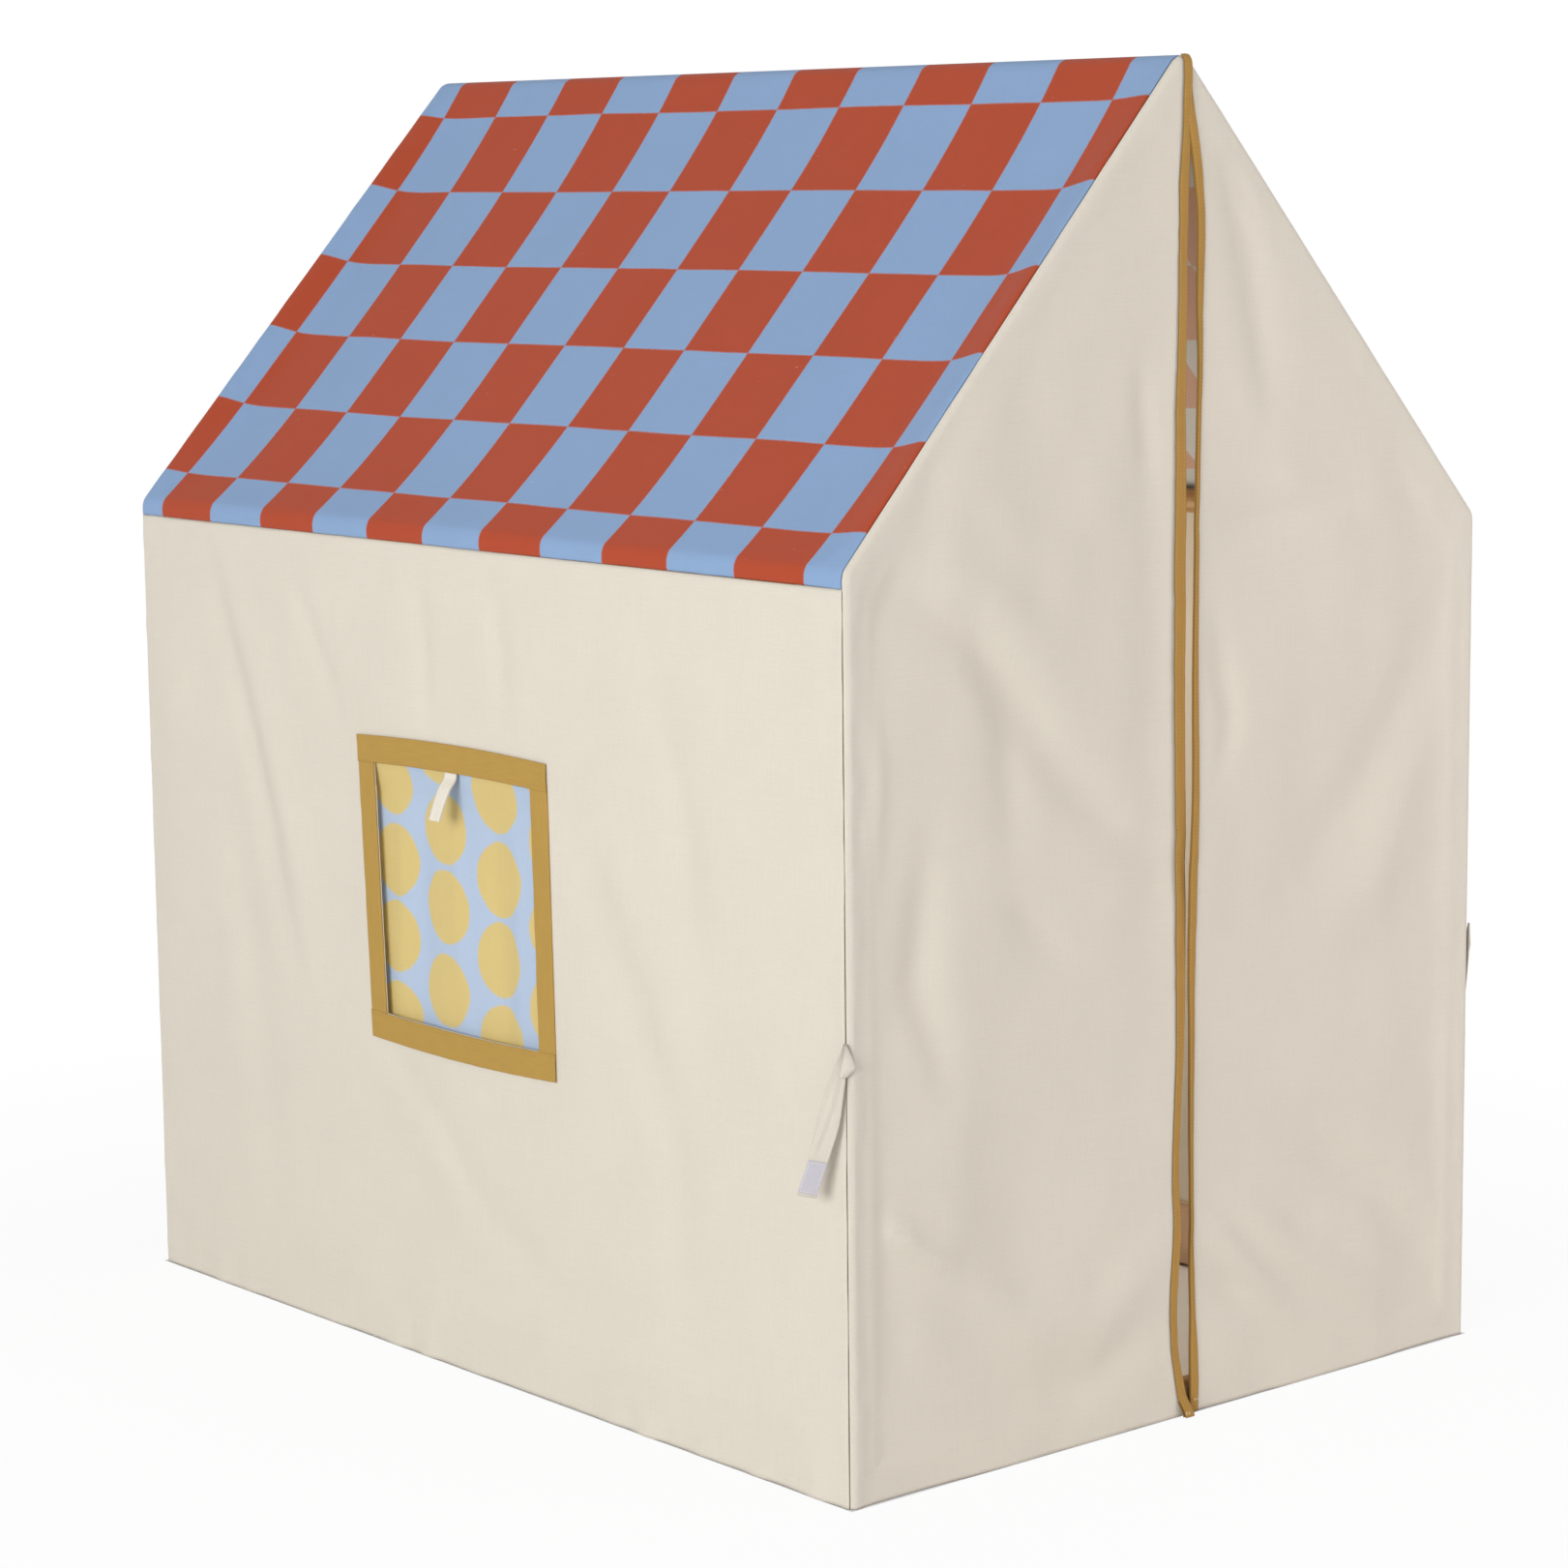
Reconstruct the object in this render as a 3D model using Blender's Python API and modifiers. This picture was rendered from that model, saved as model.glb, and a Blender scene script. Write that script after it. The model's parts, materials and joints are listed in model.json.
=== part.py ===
"""Kids play tent shaped like a small house: a cotton cover over a frame of wooden poles.

X runs across the gables, Y along the ridge with the door gable at -Y, and Z up.
The origin is the middle of the floor that the tent stands on.
"""

import math

import bmesh
import bpy
from mathutils import Matrix, Vector

# The tent as a whole
TENT_WIDTH = 0.915
TENT_LENGTH = 1.262
RIDGE_HEIGHT = 1.410
EAVE_RAIL_HEIGHT = 0.915

# Clearances
SEAT_GAP = 0.0003
SEAM_GAP = 0.0005
HEM_LIFT = 0.001
CUT_OVERRUN = 0.01

# Poles and the moulded corners that they plug into
POLE_RADIUS = 0.014
POLE_SIDES = 12
BORE_CLEARANCE = 0.0003
SLEEVE_WALL = 0.0027
SLEEVE_STEP = 0.0003
HUB_RIM = 0.001
HUB_RINGS = 6
HUB_TURN = math.radians(10)
MERGE_DISTANCE = 0.0001
SLEEVE_REACH = 0.058
SOCKET_FLOOR = 0.022
FOOT_LIFT = 0.001

# Cotton cover
CLOTH = 0.0015
SEAM_DROP = 0.008
ROOF_SAG = 0.010
FOLD_DEPTH = 0.007
FOLD_WIDTH = 0.045
FOLD_FADE = 0.080

# Door: two flaps that part at a slit and fold back about lines through the apex
FLAP_FOOT = 0.220
FLAP_HEAD_DROP = 0.160
GABLE_HEAD_DROP = 0.017
JOG_HEIGHT = 0.010
SLIT_GAP = 0.016
SLIT_PINCH = 0.006
BINDING_WIDTH = 0.012
BINDING_THICKNESS = 0.0026
FLAP_WAVE = 0.007

# Window in the left wall, with its tape frame, curtain and tab
WINDOW_WIDTH = 0.290
WINDOW_HEIGHT = 0.278
WINDOW_SILL_HEIGHT = 0.382
WINDOW_PLACE = 0.008
WINDOW_CALM = 0.050
TAPE_WIDTH = 0.030
TAPE_THICKNESS = 0.0012
CURTAIN_SIDE_LAP = 0.014
CURTAIN_HEAD_LAP = 0.012
CURTAIN_FOOT_LAP = 0.022
CURTAIN_STANDOFF = 0.010
CURTAIN_LEAVING_SHARE = 0.4
CURTAIN_WAVE = 0.003
TAB_WIDTH = 0.020
TAB_LENGTH = 0.057
TAB_LEAN = math.radians(30)

# Tie-back straps, sewn into the two front corner seams
STRAP_ROOT_HEIGHT = 0.460
STRAP_WIDTH = 0.020
STRAP_LENGTH = 0.158
STRAP_THICKNESS = 0.0014
STRAP_ROOT_GAP = 0.0009
STRAP_BOW = 0.003
STRAP_LEAN = math.radians(17)
STRAP_HEADING = math.radians(38)
PATCH_LENGTH = 0.032
PATCH_THICKNESS = 0.0012

# Main folds of each hanging panel: place of the fold's foot, place of its head, and strength,
# as shares of the panel's width and of the fold depth
WALL_FOLD_SHARES = ((0.10, 0.03, 0.9), (0.22, 0.34, 0.7), (0.80, 0.62, 0.7), (0.90, 0.98, 1.0))
BACK_FOLD_SHARES = ((0.14, 0.20, 0.9), (0.42, 0.33, 0.7), (0.66, 0.60, 0.8), (0.88, 0.74, 0.9))
FRONT_FOLD_SHARES = ((0.30, 0.70, 0.8), (0.86, 0.60, 1.0))
FLAP_FOLD_SHARES = ((0.45, 0.50, 0.6), (0.95, 0.95, 1.0))
FLAP_WAVE_TURNS = 2.5
CURTAIN_WAVE_TURNS = 2

# Finish of the surfaces: edges sharper than this angle stay sharp
SHARP_ANGLE = math.radians(40)

# How flat the roof's sag runs along the ridge before it dies out at the gables
SAG_FLATNESS = 8

# Grid steps of the cloth panels
WALL_COLUMNS = 7
WALL_ROWS = 5
ROOF_COLUMNS = 14
SLOPE_ROWS = 9
EAVE_ARC_ROWS = 3
CREST_ARC_ROWS = 3
BACK_COLUMNS = 14
BACK_ROWS = 16
FRONT_COLUMNS = 6
FLAP_COLUMNS = 4
FLAP_ROWS = 18
HEAD_ROWS = 3
CURTAIN_COLUMNS = 10
CURTAIN_ROWS = 6
STRAP_ROWS = 6

# Worked out from the sizes above
BORE_RADIUS = POLE_RADIUS + BORE_CLEARANCE
SLEEVE_RADIUS = BORE_RADIUS + SLEEVE_WALL
HUB_RADIUS = SLEEVE_RADIUS + HUB_RIM
AXIS_INSET = CLOTH + SEAT_GAP + HUB_RADIUS
AXIS_X = TENT_WIDTH / 2 - AXIS_INSET
AXIS_Y = TENT_LENGTH / 2 - AXIS_INSET
FOOT_AXIS_HEIGHT = HUB_RADIUS + FOOT_LIFT
RIDGE_AXIS_HEIGHT = RIDGE_HEIGHT - AXIS_INSET
ROOF_ANGLE = math.atan2(RIDGE_AXIS_HEIGHT - EAVE_RAIL_HEIGHT, AXIS_X)
SEAM_HEIGHT = EAVE_RAIL_HEIGHT - SEAM_DROP
PANEL_INSET = CLOTH + SEAM_GAP
FLAP_HEAD_HEIGHT = RIDGE_HEIGHT - FLAP_HEAD_DROP
GABLE_HEAD_HEIGHT = RIDGE_HEIGHT - GABLE_HEAD_DROP
WINDOW_HEAD_HEIGHT = WINDOW_SILL_HEIGHT + WINDOW_HEIGHT


def finish(name, colour, roughness):
    """A material with the piece's own colour and roughness."""
    material = bpy.data.materials.new(name)
    material.use_nodes = True
    shader = material.node_tree.nodes["Principled BSDF"]
    shader.inputs["Base Color"].default_value = (*colour, 1)
    shader.inputs["Roughness"].default_value = roughness
    shader.inputs["Metallic"].default_value = 0
    return material


def start_scene():
    """An empty scene with the tent's collection and one for the cutters."""
    for thing in list(bpy.data.objects):
        bpy.data.objects.remove(thing, do_unlink=True)
    for name in ("kids_play_tent", "cutters"):
        collection = bpy.data.collections.new(name)
        bpy.context.scene.collection.children.link(collection)


def keep(thing, material):
    """Puts a piece in the tent's collection with its own copy of a material."""
    for collection in list(thing.users_collection):
        collection.objects.unlink(thing)
    bpy.data.collections["kids_play_tent"].objects.link(thing)
    own = material.copy()
    own.name = thing.name + "_finish"
    thing.data.materials.clear()
    thing.data.materials.append(own)
    return thing


def as_cutter(thing):
    """Puts a helper body among the cutters, where it shows as wire and isn't rendered."""
    for collection in list(thing.users_collection):
        collection.objects.unlink(thing)
    bpy.data.collections["cutters"].objects.link(thing)
    thing.hide_render = True
    thing.display_type = "WIRE"
    return thing


def combine(body, other, operation):
    """Joins or cuts a body with a helper body."""
    modifier = body.modifiers.new(other.name, "BOOLEAN")
    modifier.operation = operation
    modifier.solver = "EXACT"
    modifier.object = as_cutter(other)


def rod(name, start, end, radius):
    """A round bar from one point to another."""
    along = end - start
    bpy.ops.mesh.primitive_cylinder_add(
        vertices=POLE_SIDES,
        radius=radius,
        depth=along.length,
        location=(start + end) / 2,
        rotation=along.to_track_quat("Z", "Y").to_euler(),
    )
    bar = bpy.context.object
    bar.name = name
    bar.data.shade_smooth()
    bar.data.set_sharp_from_angle(angle=SHARP_ANGLE)
    return bar


def pole(name, hub_a, hub_b, material):
    """A wooden pole between two corners, with each end at the floor of its socket."""
    along = (hub_b - hub_a).normalized()
    reach = along * (SOCKET_FLOOR + SEAT_GAP)
    return keep(rod(name, hub_a + reach, hub_b - reach, POLE_RADIUS), material)


def corner(name, hub, ways, material, stands=False):
    """A moulded corner: a ball with one bored sleeve for each pole, and a flat foot if it stands.

    The ball is turned, and each sleeve is a little slimmer and starts a little further behind the
    hub than the one before, so that no edge runs along another's.
    """
    bpy.ops.mesh.primitive_uv_sphere_add(
        segments=POLE_SIDES,
        ring_count=HUB_RINGS,
        radius=HUB_RADIUS,
        location=hub,
        rotation=(HUB_TURN, HUB_TURN, 0),
    )
    body = bpy.context.object
    body.name = name
    for number, way in enumerate(ways):
        radius = SLEEVE_RADIUS - number * SLEEVE_STEP
        behind = hub - way * (number + 1) * SLEEVE_STEP
        sleeve = rod(f"{name}_sleeve_{number}", behind, hub + way * SLEEVE_REACH, radius)
        combine(body, sleeve, "UNION")
    if stands:
        radius = SLEEVE_RADIUS - len(ways) * SLEEVE_STEP
        foot = rod(f"{name}_foot", Vector((hub.x, hub.y, 0)), hub, radius)
        combine(body, foot, "UNION")
    for number, way in enumerate(ways):
        mouth = hub + way * (SLEEVE_REACH + CUT_OVERRUN)
        bore = rod(f"{name}_bore_{number}", hub + way * SOCKET_FLOOR, mouth, BORE_RADIUS)
        combine(body, bore, "DIFFERENCE")
    weld = body.modifiers.new("weld", "WELD")
    weld.merge_threshold = MERGE_DISTANCE
    return keep(body, material)


def spread(start, end, steps):
    """Evenly spaced values from start to end."""
    return [start + (end - start) * step / steps for step in range(steps + 1)]


def ease(value):
    """0 below 0, 1 above 1, and a smooth rise between."""
    value = min(max(value, 0), 1)
    return value * value * (3 - 2 * value)


def cloth(name, across, up, place, outward, thickness, material):
    """A panel of cloth: a grid whose crossings place() lays out, thickened on its inner side."""
    columns, rows = len(across) - 1, len(up) - 1
    grid = bmesh.new()
    bmesh.ops.create_grid(grid, x_segments=columns, y_segments=rows, size=1)
    for vertex in grid.verts:
        column = round((vertex.co.x + 1) / 2 * columns)
        row = round((vertex.co.y + 1) / 2 * rows)
        vertex.co = place(across[column], up[row])
    grid.normal_update()
    if sum((face.normal.dot(outward) for face in grid.faces), start=0) < 0:
        bmesh.ops.reverse_faces(grid, faces=grid.faces)
    mesh = bpy.data.meshes.new(name)
    grid.to_mesh(mesh)
    grid.free()
    mesh.shade_smooth()
    mesh.set_sharp_from_angle(angle=SHARP_ANGLE)
    panel = bpy.data.objects.new(name, mesh)
    bpy.context.scene.collection.objects.link(panel)
    solidify = panel.modifiers.new("thickness", "SOLIDIFY")
    solidify.thickness = thickness
    solidify.offset = -1
    return keep(panel, material)


def half_width(height, inset):
    """Half the tent's width at a height, to a line that lies inset within the cover's outer face."""
    reach = AXIS_INSET - inset
    slope_foot = EAVE_RAIL_HEIGHT + reach * math.cos(ROOF_ANGLE)
    slope_head = RIDGE_AXIS_HEIGHT + reach * math.cos(ROOF_ANGLE)
    if height <= EAVE_RAIL_HEIGHT:
        return AXIS_X + reach
    if height <= slope_foot:
        return AXIS_X + math.sqrt(reach**2 - (height - EAVE_RAIL_HEIGHT) ** 2)
    if height <= slope_head:
        return reach * math.sin(ROOF_ANGLE) + (slope_head - height) / math.tan(ROOF_ANGLE)
    return math.sqrt(max(reach**2 - (height - RIDGE_AXIS_HEIGHT) ** 2, 0))


def fold_bulge(across, up, shares, width):
    """How far a hanging panel stands out at a place, given as shares across and up the panel."""
    rise = 0
    for foot, head, strength in shares:
        away = (across - foot - (head - foot) * up) * width / FOLD_WIDTH
        rise += strength * math.exp(-away * away)
    return FOLD_DEPTH * min(rise, 1)


def wall_bulge(y, height, has_window):
    """How far a side wall stands out, still at its edges and round the window."""
    across = y / TENT_LENGTH + 1 / 2
    edge = ease((TENT_LENGTH / 2 - abs(y)) / FOLD_FADE) * ease((SEAM_HEIGHT - height) / FOLD_FADE)
    calm = 1
    if has_window:
        beside = abs(y - WINDOW_PLACE) - WINDOW_WIDTH / 2 - TAPE_WIDTH
        above = height - WINDOW_HEAD_HEIGHT - TAPE_WIDTH
        below = WINDOW_SILL_HEIGHT - TAPE_WIDTH - height
        calm = ease(max(beside, above, below) / WINDOW_CALM)
    return edge * calm * fold_bulge(across, height / SEAM_HEIGHT, WALL_FOLD_SHARES, TENT_LENGTH)


def side_wall(name, side, material):
    """A side wall from the floor to the roof seam; the left one has the window cut in it."""

    def place(y, height):
        return Vector((side * (TENT_WIDTH / 2 + wall_bulge(y, height, side < 0)), y, height))

    frame_front = WINDOW_PLACE - WINDOW_WIDTH / 2 - TAPE_WIDTH
    frame_back = WINDOW_PLACE + WINDOW_WIDTH / 2 + TAPE_WIDTH
    frame_foot = WINDOW_SILL_HEIGHT - TAPE_WIDTH
    frame_head = WINDOW_HEAD_HEIGHT + TAPE_WIDTH
    across = spread(-TENT_LENGTH / 2, frame_front, WALL_COLUMNS)
    across += spread(frame_back, TENT_LENGTH / 2, WALL_COLUMNS)
    up = spread(HEM_LIFT, frame_foot, WALL_ROWS)
    up += spread(frame_head, SEAM_HEIGHT - SEAM_GAP, WALL_ROWS)
    if side > 0:
        across[WALL_COLUMNS + 1 : WALL_COLUMNS + 1] = spread(frame_front, frame_back, WALL_COLUMNS)[1:-1]
        up[WALL_ROWS + 1 : WALL_ROWS + 1] = spread(frame_foot, frame_head, WALL_ROWS)[1:-1]
    return cloth(name, across, up, place, Vector((side, 0, 0)), CLOTH, material)


def roof_half(name, side, material):
    """One slope of the roof, from the seam, round the eave rail and up to the ridge's crest."""
    seam_run = SEAM_DROP
    eave_run = AXIS_INSET * (math.pi / 2 - ROOF_ANGLE)
    slope_run = math.hypot(AXIS_X, RIDGE_AXIS_HEIGHT - EAVE_RAIL_HEIGHT)
    crest_run = AXIS_INSET * (ROOF_ANGLE - math.asin(SEAM_GAP / 2 / AXIS_INSET))
    eave_end = seam_run + eave_run
    slope_end = eave_end + slope_run
    up = [0]
    up += spread(seam_run, eave_end, EAVE_ARC_ROWS)
    up += spread(eave_end, slope_end, SLOPE_ROWS)[1:]
    up += spread(slope_end, slope_end + crest_run, CREST_ARC_ROWS)[1:]

    def place(turn, run):
        y = TENT_LENGTH / 2 * math.sin(turn)
        level = max(1 - abs(2 * y / TENT_LENGTH) ** SAG_FLATNESS, 0)
        if run < seam_run:
            return Vector((side * TENT_WIDTH / 2, y, SEAM_HEIGHT + run))
        if run <= eave_end:
            tilt = (run - seam_run) / AXIS_INSET
            middle, sag = Vector((AXIS_X, EAVE_RAIL_HEIGHT)), 0
        elif run <= slope_end:
            tilt = math.pi / 2 - ROOF_ANGLE
            share = (run - eave_end) / slope_run
            middle = Vector((AXIS_X, EAVE_RAIL_HEIGHT)).lerp(Vector((0, RIDGE_AXIS_HEIGHT)), share)
            sag = ROOF_SAG * level * math.sin(math.pi * share)
        else:
            tilt = math.pi / 2 - ROOF_ANGLE + (run - slope_end) / AXIS_INSET
            middle, sag = Vector((0, RIDGE_AXIS_HEIGHT)), 0
        reach = AXIS_INSET - sag
        return Vector(
            (side * (middle.x + reach * math.cos(tilt)), y, middle.y + reach * math.sin(tilt))
        )

    turns = spread(-math.pi / 2, math.pi / 2, ROOF_COLUMNS)
    return cloth(name, turns, up, place, Vector((side, 0, 1)), CLOTH, material)


def back_gable(name, material):
    """The closed gable at the back, under the roof's edge and between the walls."""
    head = RIDGE_AXIS_HEIGHT + (AXIS_INSET - PANEL_INSET) * math.cos(ROOF_ANGLE)

    def place(share, height):
        half = half_width(height, PANEL_INSET)
        edge = ease(half * (1 - abs(2 * share - 1)) / FOLD_FADE) * ease((head - height) / FOLD_FADE)
        bulge = edge * fold_bulge(share, height / RIDGE_HEIGHT, BACK_FOLD_SHARES, TENT_WIDTH)
        return Vector((half * (2 * share - 1), TENT_LENGTH / 2 + bulge, height))

    up = spread(HEM_LIFT, EAVE_RAIL_HEIGHT, BACK_ROWS // 2)
    up += spread(EAVE_RAIL_HEIGHT, head, BACK_ROWS // 2)[1:]
    across = spread(0, 1, BACK_COLUMNS)
    return cloth(name, across, up, place, Vector((0, 1, 0)), CLOTH, material)


def fold_line(height):
    """Distance from the middle of the gable to the line that a door flap folds back about."""
    return FLAP_FOOT * (1 - height / RIDGE_HEIGHT)


def slit_half(height):
    """Half the gap between the two door flaps' bound edges."""
    spare = SLIT_GAP - SLIT_PINCH
    return (SLIT_PINCH + spare * math.sin(math.pi * height / RIDGE_HEIGHT)) / 2


def flap_bulge(away, height):
    """How far a door flap stands out at a distance from its fold line."""
    fade = ease(away / FOLD_FADE)
    wave = math.sin(math.tau * FLAP_WAVE_TURNS * height / RIDGE_HEIGHT)
    edge = FLAP_WAVE * (1 + wave) / 2 * (away / FLAP_FOOT)
    share = away / max(fold_line(height), SLIT_GAP)
    folds = fold_bulge(share, height / RIDGE_HEIGHT, FLAP_FOLD_SHARES, FLAP_FOOT)
    return fade * (edge + folds / 2)


def front_gable(name, side, material):
    """The still part of the door gable on one side: out from the fold line, and over the flap."""

    def place(share, height):
        inner = fold_line(height) + SEAM_GAP
        if height > FLAP_HEAD_HEIGHT:
            inner = slit_half(height) + BINDING_WIDTH + SEAM_GAP
        outer = half_width(height, PANEL_INSET)
        x = inner + (outer - inner) * share
        edge = ease((x - inner) / FOLD_FADE) * ease((outer - x) / FOLD_FADE)
        bulge = edge * fold_bulge(share, height / RIDGE_HEIGHT, FRONT_FOLD_SHARES, TENT_WIDTH / 2)
        return Vector((side * x, -TENT_LENGTH / 2 - bulge, height))

    up = spread(HEM_LIFT, EAVE_RAIL_HEIGHT, FLAP_ROWS // 2)
    up += spread(EAVE_RAIL_HEIGHT, FLAP_HEAD_HEIGHT, FLAP_ROWS // 2)[1:]
    up += spread(FLAP_HEAD_HEIGHT + JOG_HEIGHT, GABLE_HEAD_HEIGHT, HEAD_ROWS)
    across = spread(0, 1, FRONT_COLUMNS)
    return cloth(name, across, up, place, Vector((0, -1, 0)), CLOTH, material)


def door_flap(name, side, material):
    """A door flap, from its fold line to its bound edge."""

    def place(share, height):
        outer = fold_line(height) - SEAM_GAP
        inner = slit_half(height) + BINDING_WIDTH + SEAM_GAP
        x = outer + (inner - outer) * share
        bulge = flap_bulge(fold_line(height) - x, height)
        return Vector((side * x, -TENT_LENGTH / 2 - bulge, height))

    across = spread(0, 1, FLAP_COLUMNS)
    up = spread(HEM_LIFT, FLAP_HEAD_HEIGHT - SEAM_GAP, FLAP_ROWS)
    return cloth(name, across, up, place, Vector((0, -1, 0)), CLOTH, material)


def slit_binding(name, side, low, high, rows, material):
    """The folded tape along one edge of the slit, from one height to another."""

    def place(share, height):
        x = slit_half(height) + BINDING_WIDTH * share
        bulge = flap_bulge(max(fold_line(height) - x, 0), height)
        proud = (BINDING_THICKNESS - CLOTH) / 2
        return Vector((side * x, -TENT_LENGTH / 2 - bulge - proud, height))

    up = spread(low, high, rows)
    return cloth(name, spread(0, 1, 1), up, place, Vector((0, -1, 0)), BINDING_THICKNESS, material)


def window_tape(name, y_span, height_span, material):
    """One strip of the tape frame, flat on the wall's outer face."""

    def place(y, height):
        return Vector((-TENT_WIDTH / 2 - SEAT_GAP - TAPE_THICKNESS, y, height))

    across, up = spread(*y_span, 1), spread(*height_span, 1)
    return cloth(name, across, up, place, Vector((-1, 0, 0)), TAPE_THICKNESS, material)


def window_tapes(material):
    """The four strips: top and bottom run full width, and the sides stand between them."""
    front, back = WINDOW_PLACE - WINDOW_WIDTH / 2, WINDOW_PLACE + WINDOW_WIDTH / 2
    sill, head = WINDOW_SILL_HEIGHT, WINDOW_HEAD_HEIGHT
    full = (front - TAPE_WIDTH, back + TAPE_WIDTH)
    side_heights = (sill + SEAT_GAP, head - SEAT_GAP)
    window_tape("window_tape_top", full, (head, head + TAPE_WIDTH), material)
    window_tape("window_tape_bottom", full, (sill - TAPE_WIDTH, sill), material)
    window_tape("window_tape_front", (front - TAPE_WIDTH, front), side_heights, material)
    window_tape("window_tape_back", (back, back + TAPE_WIDTH), side_heights, material)


def window_cutter():
    """The block that opens the window in the left wall."""
    middle_height = WINDOW_SILL_HEIGHT + WINDOW_HEIGHT / 2
    bpy.ops.mesh.primitive_cube_add(size=1, location=(-TENT_WIDTH / 2, WINDOW_PLACE, middle_height))
    block = bpy.context.object
    block.name = "window_cutter"
    block.dimensions = (2 * CUT_OVERRUN, WINDOW_WIDTH, WINDOW_HEIGHT)
    bpy.ops.object.transform_apply(location=False, rotation=False, scale=True)
    return block


def window_curtain(name, material):
    """The curtain, sewn inside above the window and hanging a little off the wall."""
    head = WINDOW_HEAD_HEIGHT + CURTAIN_HEAD_LAP
    foot = WINDOW_SILL_HEIGHT - CURTAIN_FOOT_LAP
    half = WINDOW_WIDTH / 2 + CURTAIN_SIDE_LAP

    def place(y, height):
        drop = (head - height) / (head - foot)
        turns = CURTAIN_WAVE_TURNS * (y - WINDOW_PLACE) / WINDOW_WIDTH
        wave = CURTAIN_WAVE * (1 - math.cos(math.tau * turns)) / 2
        off = SEAT_GAP + (CURTAIN_STANDOFF + wave) * ease(drop / CURTAIN_LEAVING_SHARE)
        return Vector((-TENT_WIDTH / 2 + CLOTH + off, y, height))

    across = spread(WINDOW_PLACE - half, WINDOW_PLACE + half, CURTAIN_COLUMNS)
    up = spread(foot, head, CURTAIN_ROWS)
    return cloth(name, across, up, place, Vector((-1, 0, 0)), CLOTH, material)


def window_tab(name, material):
    """The small loop of webbing that hangs from the window's top strip and holds the rolled curtain."""

    def place(y, run):
        out = SEAT_GAP + TAPE_THICKNESS + run * math.sin(TAB_LEAN)
        height = WINDOW_HEAD_HEIGHT - SEAT_GAP - run * math.cos(TAB_LEAN)
        return Vector((-TENT_WIDTH / 2 - out, y, height))

    across = spread(WINDOW_PLACE - TAB_WIDTH / 2, WINDOW_PLACE + TAB_WIDTH / 2, 1)
    outward = Vector((-1, 0, 1))
    return cloth(name, across, spread(0, TAB_LENGTH, 2), place, outward, STRAP_THICKNESS, material)


def on_strap(side, sideways, run, proud):
    """A point of a tie-back strap, which hangs from the front corner and leans away from it."""
    clear = STRAP_WIDTH / 2 / math.cos(STRAP_LEAN) + STRAP_ROOT_GAP
    bow = STRAP_BOW * math.sin(math.pi * run / STRAP_LENGTH)
    out = clear + run * math.sin(STRAP_LEAN) + sideways * math.cos(STRAP_LEAN) + bow
    height = STRAP_ROOT_HEIGHT - run * math.cos(STRAP_LEAN) + sideways * math.sin(STRAP_LEAN)
    x = TENT_WIDTH / 2 + out * math.cos(STRAP_HEADING) + proud * math.sin(STRAP_HEADING)
    y = -TENT_LENGTH / 2 + out * math.sin(STRAP_HEADING) - proud * math.cos(STRAP_HEADING)
    return Vector((side * x, y, height))


def tie_strap(name, side, start, proud, thickness, steps, material):
    """A tie-back strap from a place along it to its end, or the hook tape on its face."""

    def place(sideways, run):
        return on_strap(side, sideways, run, STRAP_THICKNESS / 2 + proud)

    across = spread(-STRAP_WIDTH / 2, STRAP_WIDTH / 2, 1)
    outward = Vector((side * math.sin(STRAP_HEADING), -math.cos(STRAP_HEADING), 0))
    runs = spread(start, STRAP_LENGTH, steps)
    return cloth(name, across, runs, place, outward, thickness, material)


def build_frame():
    """The wooden house frame: floor frame, posts, eave rails, rafters and ridge."""
    pine = finish("pine", (0.66, 0.44, 0.22), 0.55)
    moulding = finish("moulding", (0.16, 0.15, 0.14), 0.6)
    foot, eave, apex = {}, {}, {}
    for end, y in (("front", -AXIS_Y), ("back", AXIS_Y)):
        apex[end] = Vector((0, y, RIDGE_AXIS_HEIGHT))
        for hand, x in (("left", -AXIS_X), ("right", AXIS_X)):
            foot[end, hand] = Vector((x, y, FOOT_AXIS_HEIGHT))
            eave[end, hand] = Vector((x, y, EAVE_RAIL_HEIGHT))
    for end, inward in (("front", 1), ("back", -1)):
        along = Vector((0, inward, 0))
        pole(f"bottom_rail_{end}", foot[end, "left"], foot[end, "right"], pine)
        slopes = []
        for hand, side in (("left", -1), ("right", 1)):
            here, top = foot[end, hand], eave[end, hand]
            up_slope = (apex[end] - top).normalized()
            slopes.append(-up_slope)
            ways = (Vector((0, 0, 1)), along, Vector((-side, 0, 0)))
            corner(f"foot_corner_{end}_{hand}", here, ways, moulding, stands=True)
            corner(f"eave_corner_{end}_{hand}", top, (Vector((0, 0, -1)), along, up_slope), moulding)
            pole(f"corner_post_{end}_{hand}", here, top, pine)
            pole(f"rafter_{end}_{hand}", top, apex[end], pine)
        corner(f"apex_corner_{end}", apex[end], (along, *slopes), moulding)
    for hand in ("left", "right"):
        pole(f"bottom_rail_{hand}", foot["front", hand], foot["back", hand], pine)
        pole(f"eave_rail_{hand}", eave["front", hand], eave["back", hand], pine)
    pole("ridge_pole", apex["front"], apex["back"], pine)


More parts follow.
